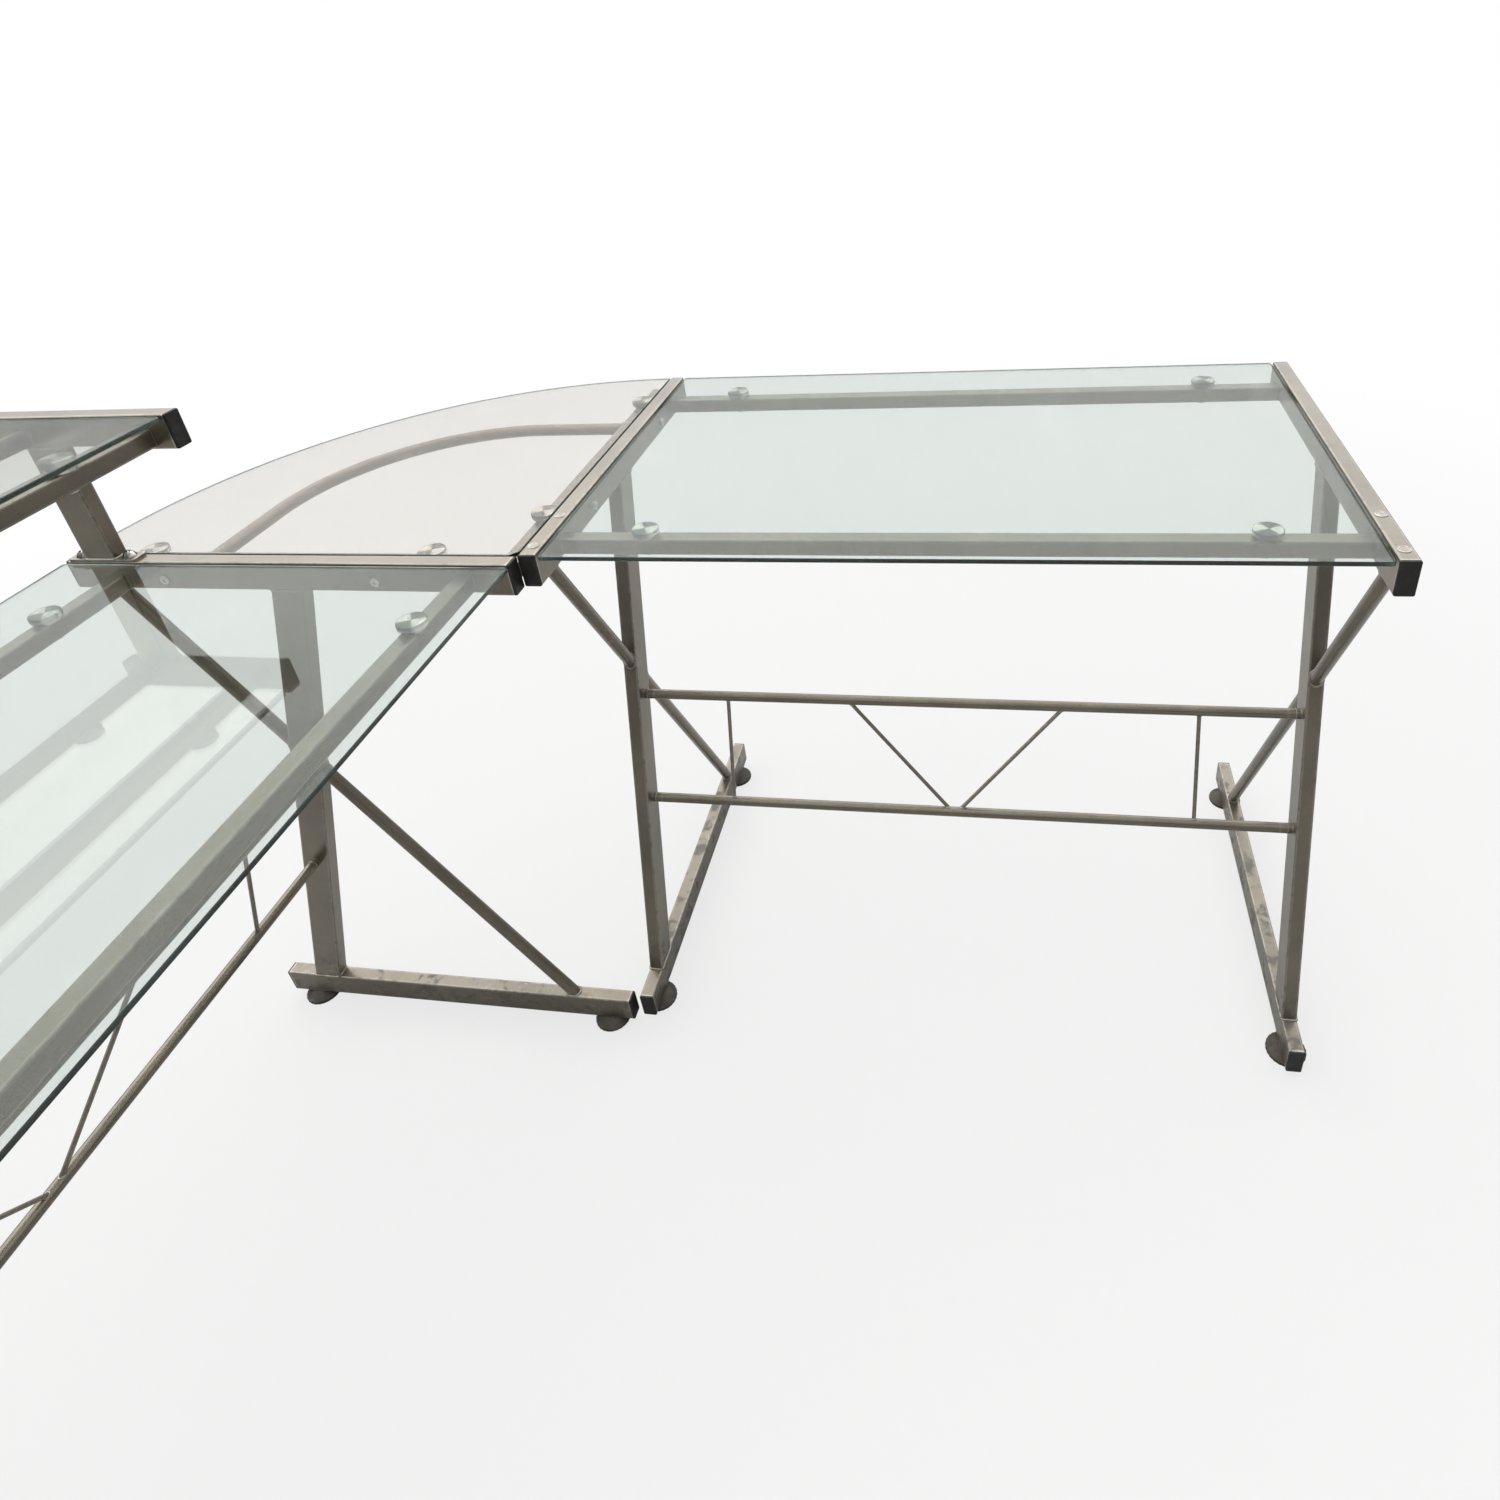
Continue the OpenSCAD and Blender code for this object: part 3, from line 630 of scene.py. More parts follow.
@dataclass(frozen=True)
class SatinCoat:
    """Sprayed champagne-silver coating on steel, rubbed at its edges and scuffed low down."""

    name: str
    colour: Colour = (0.160, 0.136, 0.102)
    cool: Colour = (0.124, 0.110, 0.087)
    bare: Colour = (0.46, 0.44, 0.40)
    grime: Colour = (0.045, 0.038, 0.030)
    dust: Colour = (0.30, 0.28, 0.24)
    metallic: float = 0.82
    roughness: float = 0.29
    wear: float = 0.24
    scuff: float = 0.42
    kick_height: float = 0.075
    grime_cover: float = 0.75
    kick_cover: float = 0.45
    scratch_cover: float = 0.45
    edge_cover: float = 0.8

    def build(self, effects: Effects) -> bpy.types.Material:
        """Makes the material.

        Args:
            effects: the shared effects.

        Returns:
            The coating.
        """
        material, tree = new_material(self.name)
        place = tree.add("TexCoord").outputs["Object"]
        wash = tree.noise(place, 9.0, 6.0, 0.62)
        mottle = tree.noise(place, 55.0, 4.0, 0.6)
        fleck = tree.add("TexVoronoi", {"feature": "F1"}, Vector=place, Scale=1900.0)
        edge = effects.place(tree, Effect.EDGE_WEAR, Width=0.0035, Amount=self.wear, Break_Scale=85.0)
        scratch = effects.place(tree, Effect.SCUFFS, Scale=16.0, Amount=self.scuff, Stretch=9.0)
        dust = effects.place(tree, Effect.DUST, Scale=14.0, Amount=0.22)
        height = tree.add("SeparateXYZ", {}, Vector=place).outputs["Z"]
        low = tree.minus(1.0, tree.ramp(height, self.kick_height * 0.7, self.kick_height * 1.6))
        kicked = effects.place(tree, Effect.SCUFFS, Scale=22.0, Amount=self.scuff + 0.09, Stretch=5.0)
        smear = tree.noise(place, 34.0, 8.0, 0.72)
        rubbed = tree.times(low, tree.ramp(smear, 0.51, 0.60))
        colour = tree.blend(tree.ramp(wash, 0.35, 0.65), opaque(self.colour), opaque(self.cool))
        glint = tree.times(tree.ramp(fleck.outputs["Color"], 0.72, 1.0), 0.16)
        colour = tree.blend(glint, colour, opaque(self.bare))
        colour = tree.blend(dust, colour, opaque(self.dust))
        colour = tree.blend(tree.times(rubbed, self.grime_cover), colour, opaque(self.grime))
        colour = tree.blend(tree.times(tree.times(kicked, low), self.kick_cover), colour, opaque(self.bare))
        colour = tree.blend(tree.times(scratch, self.scratch_cover), colour, opaque(self.bare))
        colour = tree.blend(tree.times(edge, self.edge_cover), colour, opaque(self.bare))
        rough = tree.level(mottle, self.roughness - 0.05, self.roughness + 0.07)
        rough = tree.level(dust, rough, 0.7)
        rough = tree.level(rubbed, rough, 0.62)
        rough = tree.level(edge, rough, 0.28)
        metal = tree.level(tree.most(edge, scratch), self.metallic, 0.95)
        metal = tree.level(tree.most(rubbed, dust), metal, 0.1)
        peel = effects.place(tree, Effect.ORANGE_PEEL, Scale=850.0, Fleck=0.4)
        cut = tree.minus(peel, tree.times(tree.most(scratch, edge), 0.8))
        bump = tree.add("Bump", {}, Strength=0.05, Distance=0.00015, Height=cut)
        shader = principled(tree, Base_Color=colour, Roughness=rough, Metallic=metal, Normal=bump.outputs[0])
        shader.inputs["Coat Weight"].default_value = 0.3
        shader.inputs["Coat Roughness"].default_value = 0.18
        return material


@dataclass(frozen=True)
class MouldedPlastic:
    """Black moulded plastic with a fine spark texture, greyed where it is rubbed."""

    name: str
    colour: Colour = (0.0075, 0.007, 0.0065)
    rubbed: Colour = (0.028, 0.027, 0.025)
    dust: Colour = (0.10, 0.09, 0.075)
    roughness: float = 0.46
    texture_scale: float = 1400.0
    dust_amount: float = 0.3

    def build(self, effects: Effects) -> bpy.types.Material:
        """Makes the material.

        Args:
            effects: the shared effects.

        Returns:
            The plastic.
        """
        material, tree = new_material(self.name)
        place = tree.add("TexCoord").outputs["Object"]
        cloud = tree.noise(place, 70.0, 6.0, 0.7)
        spark = tree.noise(place, self.texture_scale, 3.0, 0.6)
        edge = effects.place(tree, Effect.EDGE_WEAR, Width=0.0009, Amount=0.42, Break_Scale=120.0)
        dust = effects.place(tree, Effect.DUST, Scale=40.0, Amount=self.dust_amount)
        scratch = effects.place(tree, Effect.SCUFFS, Scale=40.0, Amount=0.5, Stretch=6.0)
        colour = tree.blend(tree.ramp(cloud, 0.45, 0.8), opaque(self.colour), opaque(self.rubbed))
        colour = tree.blend(tree.times(tree.most(edge, scratch), 0.7), colour, opaque(self.rubbed))
        colour = tree.blend(dust, colour, opaque(self.dust))
        rough = tree.level(cloud, self.roughness - 0.06, self.roughness + 0.12)
        rough = tree.level(dust, rough, 0.8)
        bump = tree.add("Bump", {}, Strength=0.25, Distance=0.0002, Height=spark)
        shader = principled(tree, Base_Color=colour, Roughness=rough, Normal=bump.outputs[0])
        shader.inputs["Specular IOR Level"].default_value = 0.3
        return material


@dataclass(frozen=True)
class TurnedMetal:
    """Metal with fine concentric tool marks, so that its shine runs out in rays from its centre. Two
    opposite rays of painted highlight also lie in its colour, with painted shade between them.
    """

    name: str
    colour: Colour = (0.55, 0.54, 0.50)
    # shade: colour of stains, and the painted shade between the painted highlight rays
    shade: Colour = (0.085, 0.083, 0.078)
    roughness: float = 0.16
    groove_pitch: float = 0.00045
    groove_depth: float = 0.35
    anisotropy: float = 0.8
    # strength and turn of the two painted highlight rays in the colour
    glint: float = 1.0
    painted_glint_turn: float = 0.6

    def build(self, effects: Effects) -> bpy.types.Material:
        """Makes the material.

        Args:
            effects: the shared effects.

        Returns:
            The metal. Its grooves follow the radius in the turning map. A painted highlight lies in two
            opposite rays of its colour, where the cosine of twice the angle is high, with painted shade
            between them.
        """
        material, tree = new_material(self.name)
        place = tree.add("TexCoord").outputs["Object"]
        turned = tree.add("UVMap", {"uv_map": TURN_MAP}).outputs[0]
        flat = tree.add("SeparateXYZ", {}, Vector=turned)
        reach = tree.add("VectorMath", {"operation": "LENGTH"})
        tree.give(reach, 0, turned)
        radius = reach.outputs["Value"]
        angle = tree.maths("ARCTAN2", flat.outputs["Y"], flat.outputs["X"])
        # Painted highlight: the colour is brightest in two opposite rays, where the cosine of twice the
        # angle is high.
        painted_glint_sweep = tree.maths("COSINE", tree.plus(tree.times(angle, 2.0), self.painted_glint_turn))
        glint = tree.ramp(painted_glint_sweep, -0.35, 0.6)
        wave = tree.maths("SINE", tree.times(radius, 2 * math.pi / self.groove_pitch))
        stain = tree.noise(place, 240.0, 4.0, 0.6)
        edge = effects.place(tree, Effect.EDGE_WEAR, Width=0.0005, Amount=0.5, Break_Scale=200.0)
        scratch = effects.place(tree, Effect.SCUFFS, Scale=60.0, Amount=0.46, Stretch=6.0)
        # Painted shade: outside those rays, and in stains, the colour darkens towards the shade colour.
        painted_shade_share = tree.minus(1.0, tree.times(glint, self.glint))
        share = tree.most(tree.times(tree.ramp(stain, 0.5, 0.75), 0.4), painted_shade_share)
        colour = tree.blend(share, opaque(self.colour), opaque(self.shade))
        colour = tree.blend(tree.times(edge, 0.5), colour, (0.92, 0.92, 0.90, 1.0))
        rough = tree.level(stain, self.roughness * 0.7, self.roughness * 1.5)
        rough = tree.level(scratch, rough, 0.45)
        bump = tree.add("Bump", {}, Strength=self.groove_depth, Distance=0.00003, Height=wave)
        shader = principled(tree, Base_Color=colour, Roughness=rough, Metallic=1.0, Normal=bump.outputs[0])
        shader.inputs["Anisotropic"].default_value = self.anisotropy
        back = tree.times(flat.outputs["Y"], -1.0)
        tangent = tree.add("CombineXYZ", {}, X=back, Y=flat.outputs["X"])
        unit_tangent = tree.add("VectorMath", {"operation": "NORMALIZE"})
        tree.give(unit_tangent, 0, tangent.outputs[0])
        tree.give(shader, "Tangent", unit_tangent.outputs[0])
        return material


@dataclass(frozen=True)
class PlatedSteel:
    """Zinc-plated steel with a soft grain."""

    name: str
    colour: Colour = (0.56, 0.56, 0.54)
    shade: Colour = (0.36, 0.36, 0.35)
    roughness: float = 0.32

    def build(self, effects: Effects) -> bpy.types.Material:
        """Makes the material.

        Args:
            effects: the shared effects.

        Returns:
            The plated steel.
        """
        material, tree = new_material(self.name)
        place = tree.add("TexCoord").outputs["Object"]
        cloud = tree.noise(place, 160.0, 6.0, 0.7)
        grain = tree.noise(place, 2600.0, 2.0, 0.5)
        edge = effects.place(tree, Effect.EDGE_WEAR, Width=0.0004, Amount=0.5, Break_Scale=300.0)
        colour = tree.blend(tree.ramp(cloud, 0.4, 0.7), opaque(self.colour), opaque(self.shade))
        colour = tree.blend(tree.times(edge, 0.6), colour, (0.8, 0.8, 0.78, 1.0))
        rough = tree.level(cloud, self.roughness - 0.08, self.roughness + 0.14)
        bump = tree.add("Bump", {}, Strength=0.12, Distance=0.00004, Height=grain)
        principled(tree, Base_Color=colour, Roughness=rough, Metallic=1.0, Normal=bump.outputs[0])
        return material


@dataclass(frozen=True)
class ClearGlass:
    """Polished float glass. Light passes through to what lies below and takes the glass colour at each face.
    On the sheet faces that colour is the glass's own tint, darkened by painted shade that stands for a dim
    room seen through the glass.
    """

    name: str
    tint_and_painted_shade: Colour
    shadow: Colour = (0.93, 0.95, 0.935)
    smear: float = 0.25
    roughness: float = 0.0

    def build(self, effects: Effects) -> bpy.types.Material:
        """Makes the material.

        Args:
            effects: the shared effects.

        Returns:
            The glass. Its shadow is not black, and is paler than the tint.
        """
        material, tree = new_material(self.name)
        place = tree.add("TexCoord").outputs["Object"]
        wiped = tree.add("Mapping", {}, Vector=place, Rotation=(0.0, 0.0, 0.6), Scale=(1.0, 0.25, 1.0))
        streak = tree.noise(wiped.outputs[0], 26.0, 7.0, 0.7)
        touch = tree.noise(place, 7.0, 3.0, 0.5)
        scratch = effects.place(tree, Effect.SCUFFS, Scale=9.0, Amount=0.44, Stretch=14.0)
        film = tree.times(tree.ramp(streak, 0.5, 0.72), tree.ramp(touch, 0.45, 0.65))
        smudge = tree.plus(tree.times(film, self.smear), tree.times(scratch, 0.4))
        # Base colour: the glass's own tint, and on the sheet faces also painted shade for a dim room seen
        # through it.
        shader = tree.add("BsdfPrincipled", {}, Base_Color=opaque(self.tint_and_painted_shade), Roughness=self.roughness)
        tree.give(shader, "Coat Weight", smudge)
        shader.inputs["Coat Roughness"].default_value = 0.35
        shader.inputs["Transmission Weight"].default_value = 1.0
        shader.inputs["IOR"].default_value = 1.5
        shade = tree.add("BsdfTransparent", {}, Color=opaque(self.shadow))
        path = tree.add("LightPath")
        mix = tree.add("MixShader")
        output = tree.add("OutputMaterial")
        tree.give(mix, 0, path.outputs["Is Shadow Ray"])
        tree.give(mix, 1, shader.outputs[0])
        tree.give(mix, 2, shade.outputs[0])
        tree.tree.links.new(mix.outputs[0], output.inputs["Surface"])
        return material


@dataclass(frozen=True)
class Finishes:
    """Every finish of the desk, by what it covers."""

    coat: bpy.types.Material
    caps: bpy.types.Material
    glides: bpy.types.Material
    pads: bpy.types.Material
    screws: bpy.types.Material
    plating: bpy.types.Material
    plugs: bpy.types.Material
    wing_glass: bpy.types.Material
    corner_glass: bpy.types.Material
    shelf_glass: bpy.types.Material
    glass_edge: bpy.types.Material

    @staticmethod
    def build() -> "Finishes":
        """Makes every material once."""
        effects = Effects()
        return Finishes(
            coat=SatinCoat("satin_coat").build(effects),
            caps=MouldedPlastic("cap_plastic").build(effects),
            glides=MouldedPlastic("glide_plastic", colour=(0.026, 0.022, 0.017), rubbed=(0.07, 0.06, 0.048),
                                  roughness=0.5, dust_amount=0.55).build(effects),
            # Pads and screws carry the painted highlight rays and painted shade of turned metal.
            pads=TurnedMetal("pad_metal").build(effects),
            screws=TurnedMetal("screw_metal", roughness=0.14, groove_depth=0.1,
                               anisotropy=0.3).build(effects),
            plating=PlatedSteel("zinc_plating").build(effects),
            plugs=SatinCoat("plug_coat", colour=(0.22, 0.20, 0.165), cool=(0.19, 0.175, 0.15), metallic=0.35,
                            roughness=0.45, wear=0.2, scuff=0.3).build(effects),
            # The sheet colours are darker than clear float glass: painted shade for a dim room seen through
            # them, over the glass's own tint.
            wing_glass=ClearGlass("wing_glass_clear", tint_and_painted_shade=(0.70, 0.745, 0.715)).build(effects),
            corner_glass=ClearGlass("corner_glass_clear", tint_and_painted_shade=(0.79, 0.77, 0.74)).build(effects),
            shelf_glass=ClearGlass("shelf_glass_clear", tint_and_painted_shade=(0.66, 0.68, 0.645)).build(effects),
            glass_edge=ClearGlass("ground_glass_edge", tint_and_painted_shade=(0.10, 0.30, 0.21),
                                  roughness=0.22).build(effects),
        )


# ---------------------------------------------------------------- placing in a wing


class Side(Enum):
    """The two wings of the desk."""

    RIGHT = "right"
    LEFT = "left"


@dataclass(frozen=True)
class WingPlace:
    """A wing's own directions: along it from the corner, across it from its toe end, and up."""

    side: Side

    @property
    def along(self) -> np.ndarray:
        """Unit direction along the wing, away from the corner."""
        return np.array([1.0, 0, 0]) if self.side is Side.RIGHT else np.array([0, -1.0, 0])

    @property
    def across(self) -> np.ndarray:
        """Unit direction across the wing, away from its toe end."""
        return np.array([0, 1.0, 0]) if self.side is Side.RIGHT else np.array([1.0, 0, 0])

    def node(self, name: str) -> str:
        """The full name of one of this wing's nodes."""
        return f"{self.side.value}_{name}"


@dataclass(frozen=True)
class FlatTube:
    """The rectangular tube of the rails, legs, foot bars and posts, with its cap and its weld."""

    width: float = 19 * MM
    height: float = 38 * MM
    corner: float = 2 * MM
    cap_thickness: float = 3 * MM
    cap_round: float = 1.2 * MM
    bead_radius: float = 1.5 * MM
    ripple: float = 2.6 * MM
    bead_steps: int = 96

    def section(self) -> np.ndarray:
        """The tube's outline, centred."""
        return rounded_outline(self.width, self.height, self.corner, 5)

    def weld(self, ring: np.ndarray, up: np.ndarray, phase: float) -> Surface:
        """A bead along a ring of evenly spaced points."""
        return bead(resampled(ring, self.bead_steps), up, self.bead_radius, self.ripple, phase)


TUBE = FlatTube()
Line = tuple[np.ndarray, np.ndarray]


# ---------------------------------------------------------------- sub-assemblies


def cover(nodes: list[str], finish: bpy.types.Material) -> None:
    """Gives CAD nodes a finish, in place of the plain one that they were packed with."""
    for node in nodes:
        mesh = frame["nodes"][node].data
        mesh.materials.clear()
        mesh.materials.append(finish)


def add_piece(piece: bpy.types.Object, body: str = DESK_BODY,
              replaced: tuple[str, ...] = ()) -> None:
    """Hangs a finished piece on its body and reports it.

    Args:
        piece: the piece.
        body: the body that carries it.
        replaced: CAD nodes that it stands for.
    """
    if replaced:
        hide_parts(*replaced)
    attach(piece, body)
    log.info("%s: %d faces on %s", piece.name, len(piece.data.polygons), body)


@dataclass
class SideFrame:
    """One welded side frame with its caps and levelling glides.

    Attributes:
        place: the wing that it belongs to.
        end: inner beside the corner, or outer.
        finishes: the desk's finishes.
    """

    place: WingPlace
    end: str
    finishes: Finishes
    strut_diameter: float = 16 * MM

    def node(self, part: str) -> str:
        """Name of this frame's node for a part."""
        return self.place.node(f"{self.end}_{part}")

    def dress(self) -> None:
        """Covers the tubes and builds the welds, caps and glides."""
        cover([self.node(part) for part in ("rail", "leg", "struts", "foot")], self.finishes.coat)
        self.add_welds()
        self.add_caps()
        for toe in ("toe", "heel"):
            Glide(self.node(f"{toe}_glide"), self.finishes).dress()

    def add_welds(self) -> None:
        """Weld beads where the leg and the strut meet the rail, the foot bar and each other."""
        rail_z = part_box(self.node("rail"))[0].z
        foot_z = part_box(self.node("foot"))[1].z
        up = np.array([0, 0, 1.0])
        leg = node_points(self.node("leg"))
        leg_foot, leg_top = end_centre(leg, foot_z), end_centre(leg, rail_z)
        lower, upper = sorted(solids_of(self.node("struts")), key=lambda part: part[:, 2].mean())
        strut_foot, strut_top = end_centre(lower, foot_z), end_centre(upper, rail_z)
        leg_axis, strut_axis = unit(leg_top - leg_foot), unit(strut_top - strut_foot)
        leg_section = TUBE.section()
        strut_section = ring_outline(self.strut_diameter / 2, 48)
        wide = self.place.along
        leg_side = unit(np.cross(wide, leg_axis))
        beads = []
        for centre, height in ((leg_foot, foot_z), (leg_top, rail_z)):
            ring = ring_on_plane(centre, leg_axis, wide, leg_section, centre, up)
            beads.append(TUBE.weld(ring, up, height))
        for centre, height in ((strut_foot, foot_z), (strut_top, rail_z)):
            ring = ring_on_plane(centre, strut_axis, wide, strut_section, centre, up)
            beads.append(TUBE.weld(ring, up, height))
        for facing in (-1.0, 1.0):
            face_point = leg_foot + facing * leg_side * TUBE.height / 2
            ring = ring_on_plane(strut_foot, strut_axis, wide, strut_section, face_point, leg_side)
            beads.append(TUBE.weld(ring, leg_side, facing))
        piece = make_object(self.node("welds"), join(beads), [self.finishes.coat], 60)
        add_piece(piece)

    def add_caps(self) -> None:
        """Softly rounded end caps in place of the four square ones."""
        parts = [self.cap(*box_of(solid)) for solid in solids_of(self.node("caps"))]
        piece = make_object(self.node("end_caps"), join(parts), [self.finishes.caps], 50)
        add_piece(piece, replaced=(self.node("caps"),))

    def cap(self, low: np.ndarray, high: np.ndarray) -> Surface:
        """One cap on the end of a tube."""
        return tube_cap(low, high, self.place, np.array(self.tube_middle(low, high)))

    def tube_middle(self, low: np.ndarray, high: np.ndarray) -> Vector:
        """Middle of the tube that a cap closes: the rail if it is up there, the foot bar if not."""
        part = "rail" if low[2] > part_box(self.node("leg"))[0].z + TUBE.height else "foot"
        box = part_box(self.node(part))
        return (box[0] + box[1]) / 2


def unit(vector: np.ndarray) -> np.ndarray:
    """The vector at length 1."""
    return vector / np.linalg.norm(vector)


def tube_cap(low: np.ndarray, high: np.ndarray, place: WingPlace, tube_middle: np.ndarray) -> Surface:
    """A push-in cap: a rounded rectangle with a quarter-circle outer edge and a slightly dished face.

    For t over a quarter turn the outline is inset by edge (1 - cos t) at a depth of edge (1 - sin t)
    from the face; the face then shrinks to its centre, sinking by a fifth of the edge at the middle.

    Args:
        low: lowest corner of the CAD cap.
        high: highest corner of the CAD cap.
        place: the wing that it belongs to.
        tube_middle: middle of its tube.

    Returns:
        The cap in the row frame.
    """
    centre = (low + high) / 2
    outward = place.across * math.copysign(1.0, (centre - tube_middle) @ place.across)
    reach = max(low @ outward, high @ outward)
    edge = TUBE.cap_round
    base = rounded_outline(TUBE.width, TUBE.height, TUBE.corner, 6)
    turn = np.linspace(0, math.pi / 2, 6)
    rings = [(inset(base, 0.0), TUBE.cap_thickness)]
    rings += [(inset(base, edge * (1 - math.cos(t))), edge * (1 - math.sin(t))) for t in turn]
    face = inset(base, edge)
    rings += [(face * share, edge * 0.2 * (1 - share**2)) for share in (0.85, 0.6, 0.3, 0.0)]
    flat = np.vstack([np.column_stack([ring, np.full(len(ring), depth)]) for ring, depth in rings])
    points = (
        flat[:, :1] * place.along
        + flat[:, 1:2] * np.array([0, 0, 1.0])
        + (reach - flat[:, 2:]) * outward
    )
    steady = centre - (centre @ outward) * outward
    count = len(base)
    faces = grid_faces(len(rings), count, False, True) + [list(range(count))]
    return Surface(points + steady, faces)


@dataclass
class Glide:
    """A levelling glide: moulded disc with grip flutes, and a threaded stud.

    Attributes:
        node: its CAD node, which is also its body.
        finishes: the desk's finishes.
    """

    node: str
    finishes: Finishes
    stud_diameter: float = 10 * MM
    thread_pitch: float = 1.5 * MM
    thread_depth: float = 0.55 * MM
    flutes: int = 24
    flute_depth: float = 0.45 * MM
    neck_radius: float = 11 * MM

    def dress(self) -> None:
        """Builds the disc and the stud in place of the CAD node."""
        low, high = (np.array(corner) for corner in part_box(self.node))
        centre = np.array([(low[0] + high[0]) / 2, (low[1] + high[1]) / 2, 0])
        radius = (high[0] - low[0]) / 2
        desk_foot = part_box(self.node.rsplit("_", 2)[0] + "_foot")[0].z
        disc = self.disc(radius, low[2], desk_foot - 0.3 * MM)
        stud = self.stud(desk_foot - 0.3 * MM, high[2])
        piece = make_object(self.node + "_disc", disc.moved(np.eye(3), centre), [self.finishes.glides], 40)
        add_piece(piece, self.node, (self.node,))
        piece = make_object(self.node + "_stud", stud.moved(np.eye(3), centre), [self.finishes.plating], 40)
        add_piece(piece, self.node)

    def disc(self, radius: float, low: float, high: float) -> Surface:
        """The moulded disc: r(z, a) is the turned profile, less shallow flutes round its rim.

        The flutes take flute_depth (0.5 - 0.5 cos(flutes a)) off the radius where the rim is upright.
        """
        tall = high - low
        profile = np.array([
            (0.0, 0.15), (0.70, 0.15), (0.78, 0.0), (0.95, 0.0), (0.985, 0.03), (1.0, 0.08), (1.0, 0.20),
            (1.0, 0.33), (0.985, 0.38), (0.94, 0.44), (0.80, 0.56), (0.66, 0.70), (0.54, 0.84), (0.48, 0.93),
            (self.neck_radius / radius, 1.0), (0.0, 1.0),
        ])
        scaled = np.column_stack([profile[:, 0] * radius, low + profile[:, 1] * tall])
        surface = lathe(scaled, self.flutes * 8)
        upright = np.interp(profile[:, 0], [0.93, 1.0], [0.0, 1.0])
        angle = 2 * math.pi * np.arange(self.flutes * 8) / (self.flutes * 8)
        cut = self.flute_depth * (0.5 - 0.5 * np.cos(self.flutes * angle))
        shrink = 1 - upright[:, None] * cut[None, :] / radius
        surface.points[:, :2] *= shrink.reshape(-1, 1)
        return surface

    def stud(self, low: float, high: float) -> Surface:
        """The threaded stud: r = mean + depth (|2 frac(z / pitch - a) - 1| - 0.5), a in turns."""
        rows, around = int((high - low) / self.thread_pitch * 8), 32
        height = np.linspace(low, high, rows)[:, None]
        share = np.arange(around)[None, :] / around
        wave = np.abs(2 * np.mod(height / self.thread_pitch - share, 1.0) - 1)
        radius = self.stud_diameter / 2 - self.thread_depth * wave
        angle = 2 * math.pi * share
        level = np.broadcast_to(height, radius.shape)
        points = np.stack([radius * np.cos(angle), radius * np.sin(angle), level], -1)
        faces = grid_faces(rows, around, False, True)
        faces += [list(range(around)), [(rows - 1) * around + k for k in range(around)]]
        return Surface(points.reshape(-1, 3), faces)


@dataclass
class Truss:
    """The stretcher between a wing's legs: two round tubes with upright and slanted rods."""

    place: WingPlace
    finishes: Finishes
    tube_diameter: float = 13 * MM
    rod_diameter: float = 5 * MM
    bead_radius: float = 0.8 * MM
    collar_from_end: float = 6 * MM
    collar_radius: float = 0.45 * MM

    def dress(self) -> None:
        """Covers the tubes and rods and adds their welds and end collars."""
        names = [self.place.node(part) for part in ("truss_upper", "truss_lower", "truss_rods")]
        cover(names, self.finishes.coat)
        upper = self.axis_of(names[0])
        lower = self.axis_of(names[1])
        parts = []
        for solid in solids_of(names[2]):
            parts += self.rod_welds(solid, upper, lower)
        for low, high in (upper, lower):
            parts += self.collars(low, high)
        piece = make_object(self.place.node("truss_welds"), join(parts), [self.finishes.coat], 60)
        add_piece(piece)

    def axis_of(self, node: str) -> tuple[np.ndarray, np.ndarray]:
        """Both ends of a tube's centre line, from its box."""
        low, high = (np.array(corner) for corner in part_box(node))
        middle = (low + high) / 2
        half = abs((high - low) @ self.place.along) / 2
        return middle - half * self.place.along, middle + half * self.place.along

    def rod_welds(self, rod: np.ndarray, upper: Line, lower: Line) -> list[Surface]:
        """A bead round each end of a rod, on the side of the tube that it meets."""
        top = rod[rod[:, 2] > rod[:, 2].max() - self.rod_diameter / 2].mean(0)
        foot = rod[rod[:, 2] < rod[:, 2].min() + self.rod_diameter / 2].mean(0)
        axis = unit(top - foot)
        slope = unit(upper[0] - lower[0])
        section = ring_outline(self.rod_diameter / 2, 28)
        across = unit(np.cross(np.cross(axis, self.place.along), axis))
        beads = []
        for tube, facing in ((upper, -1.0), (lower, 1.0)):
            face_point = tube[0] + facing * slope * self.tube_diameter / 2
            ring = ring_on_plane(foot, axis, across, section, face_point, slope)
            beads.append(bead(resampled(ring, 40), slope, self.bead_radius, 1.6 * MM, 0.4))
        return beads

    def collars(self, low: np.ndarray, high: np.ndarray) -> list[Surface]:
        """A thin rib round each end of a tube, where its threaded plug sits."""
        section = ring_outline(self.tube_diameter / 2, 40)
        up = np.array([0, 0, 1.0])
        other = np.cross(self.place.along, up)
        rings = []
        for end, inward in ((low, 1.0), (high, -1.0)):
            centre = end + inward * self.collar_from_end * self.place.along
            ring = centre + section[:, :1] * up + section[:, 1:] * other
            rings.append(bead(ring, self.place.along, self.collar_radius, 100 * MM, 0.0))
        return rings


@dataclass
class GlassTop:
    """A rectangular glass sheet on a wing or on the shelf."""

    node: str
    face: bpy.types.Material
    edge: bpy.types.Material
    corner: float = 4 * MM
    arris: float = 0.7 * MM

    def dress(self) -> None:
        """Builds the sheet with ground edges in place of the CAD node."""
        low, high = (np.array(corner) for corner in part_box(self.node))
        size = high - low
        outline = rounded_outline(size[0], size[1], self.corner, 8) + (low[:2] + high[:2]) / 2
        sheet = sheet_of_glass(outline, low[2], high[2], self.arris)
        piece = make_object(self.node + "_sheet", sheet, [self.face, self.edge], 30)
        add_piece(piece, replaced=(self.node,))


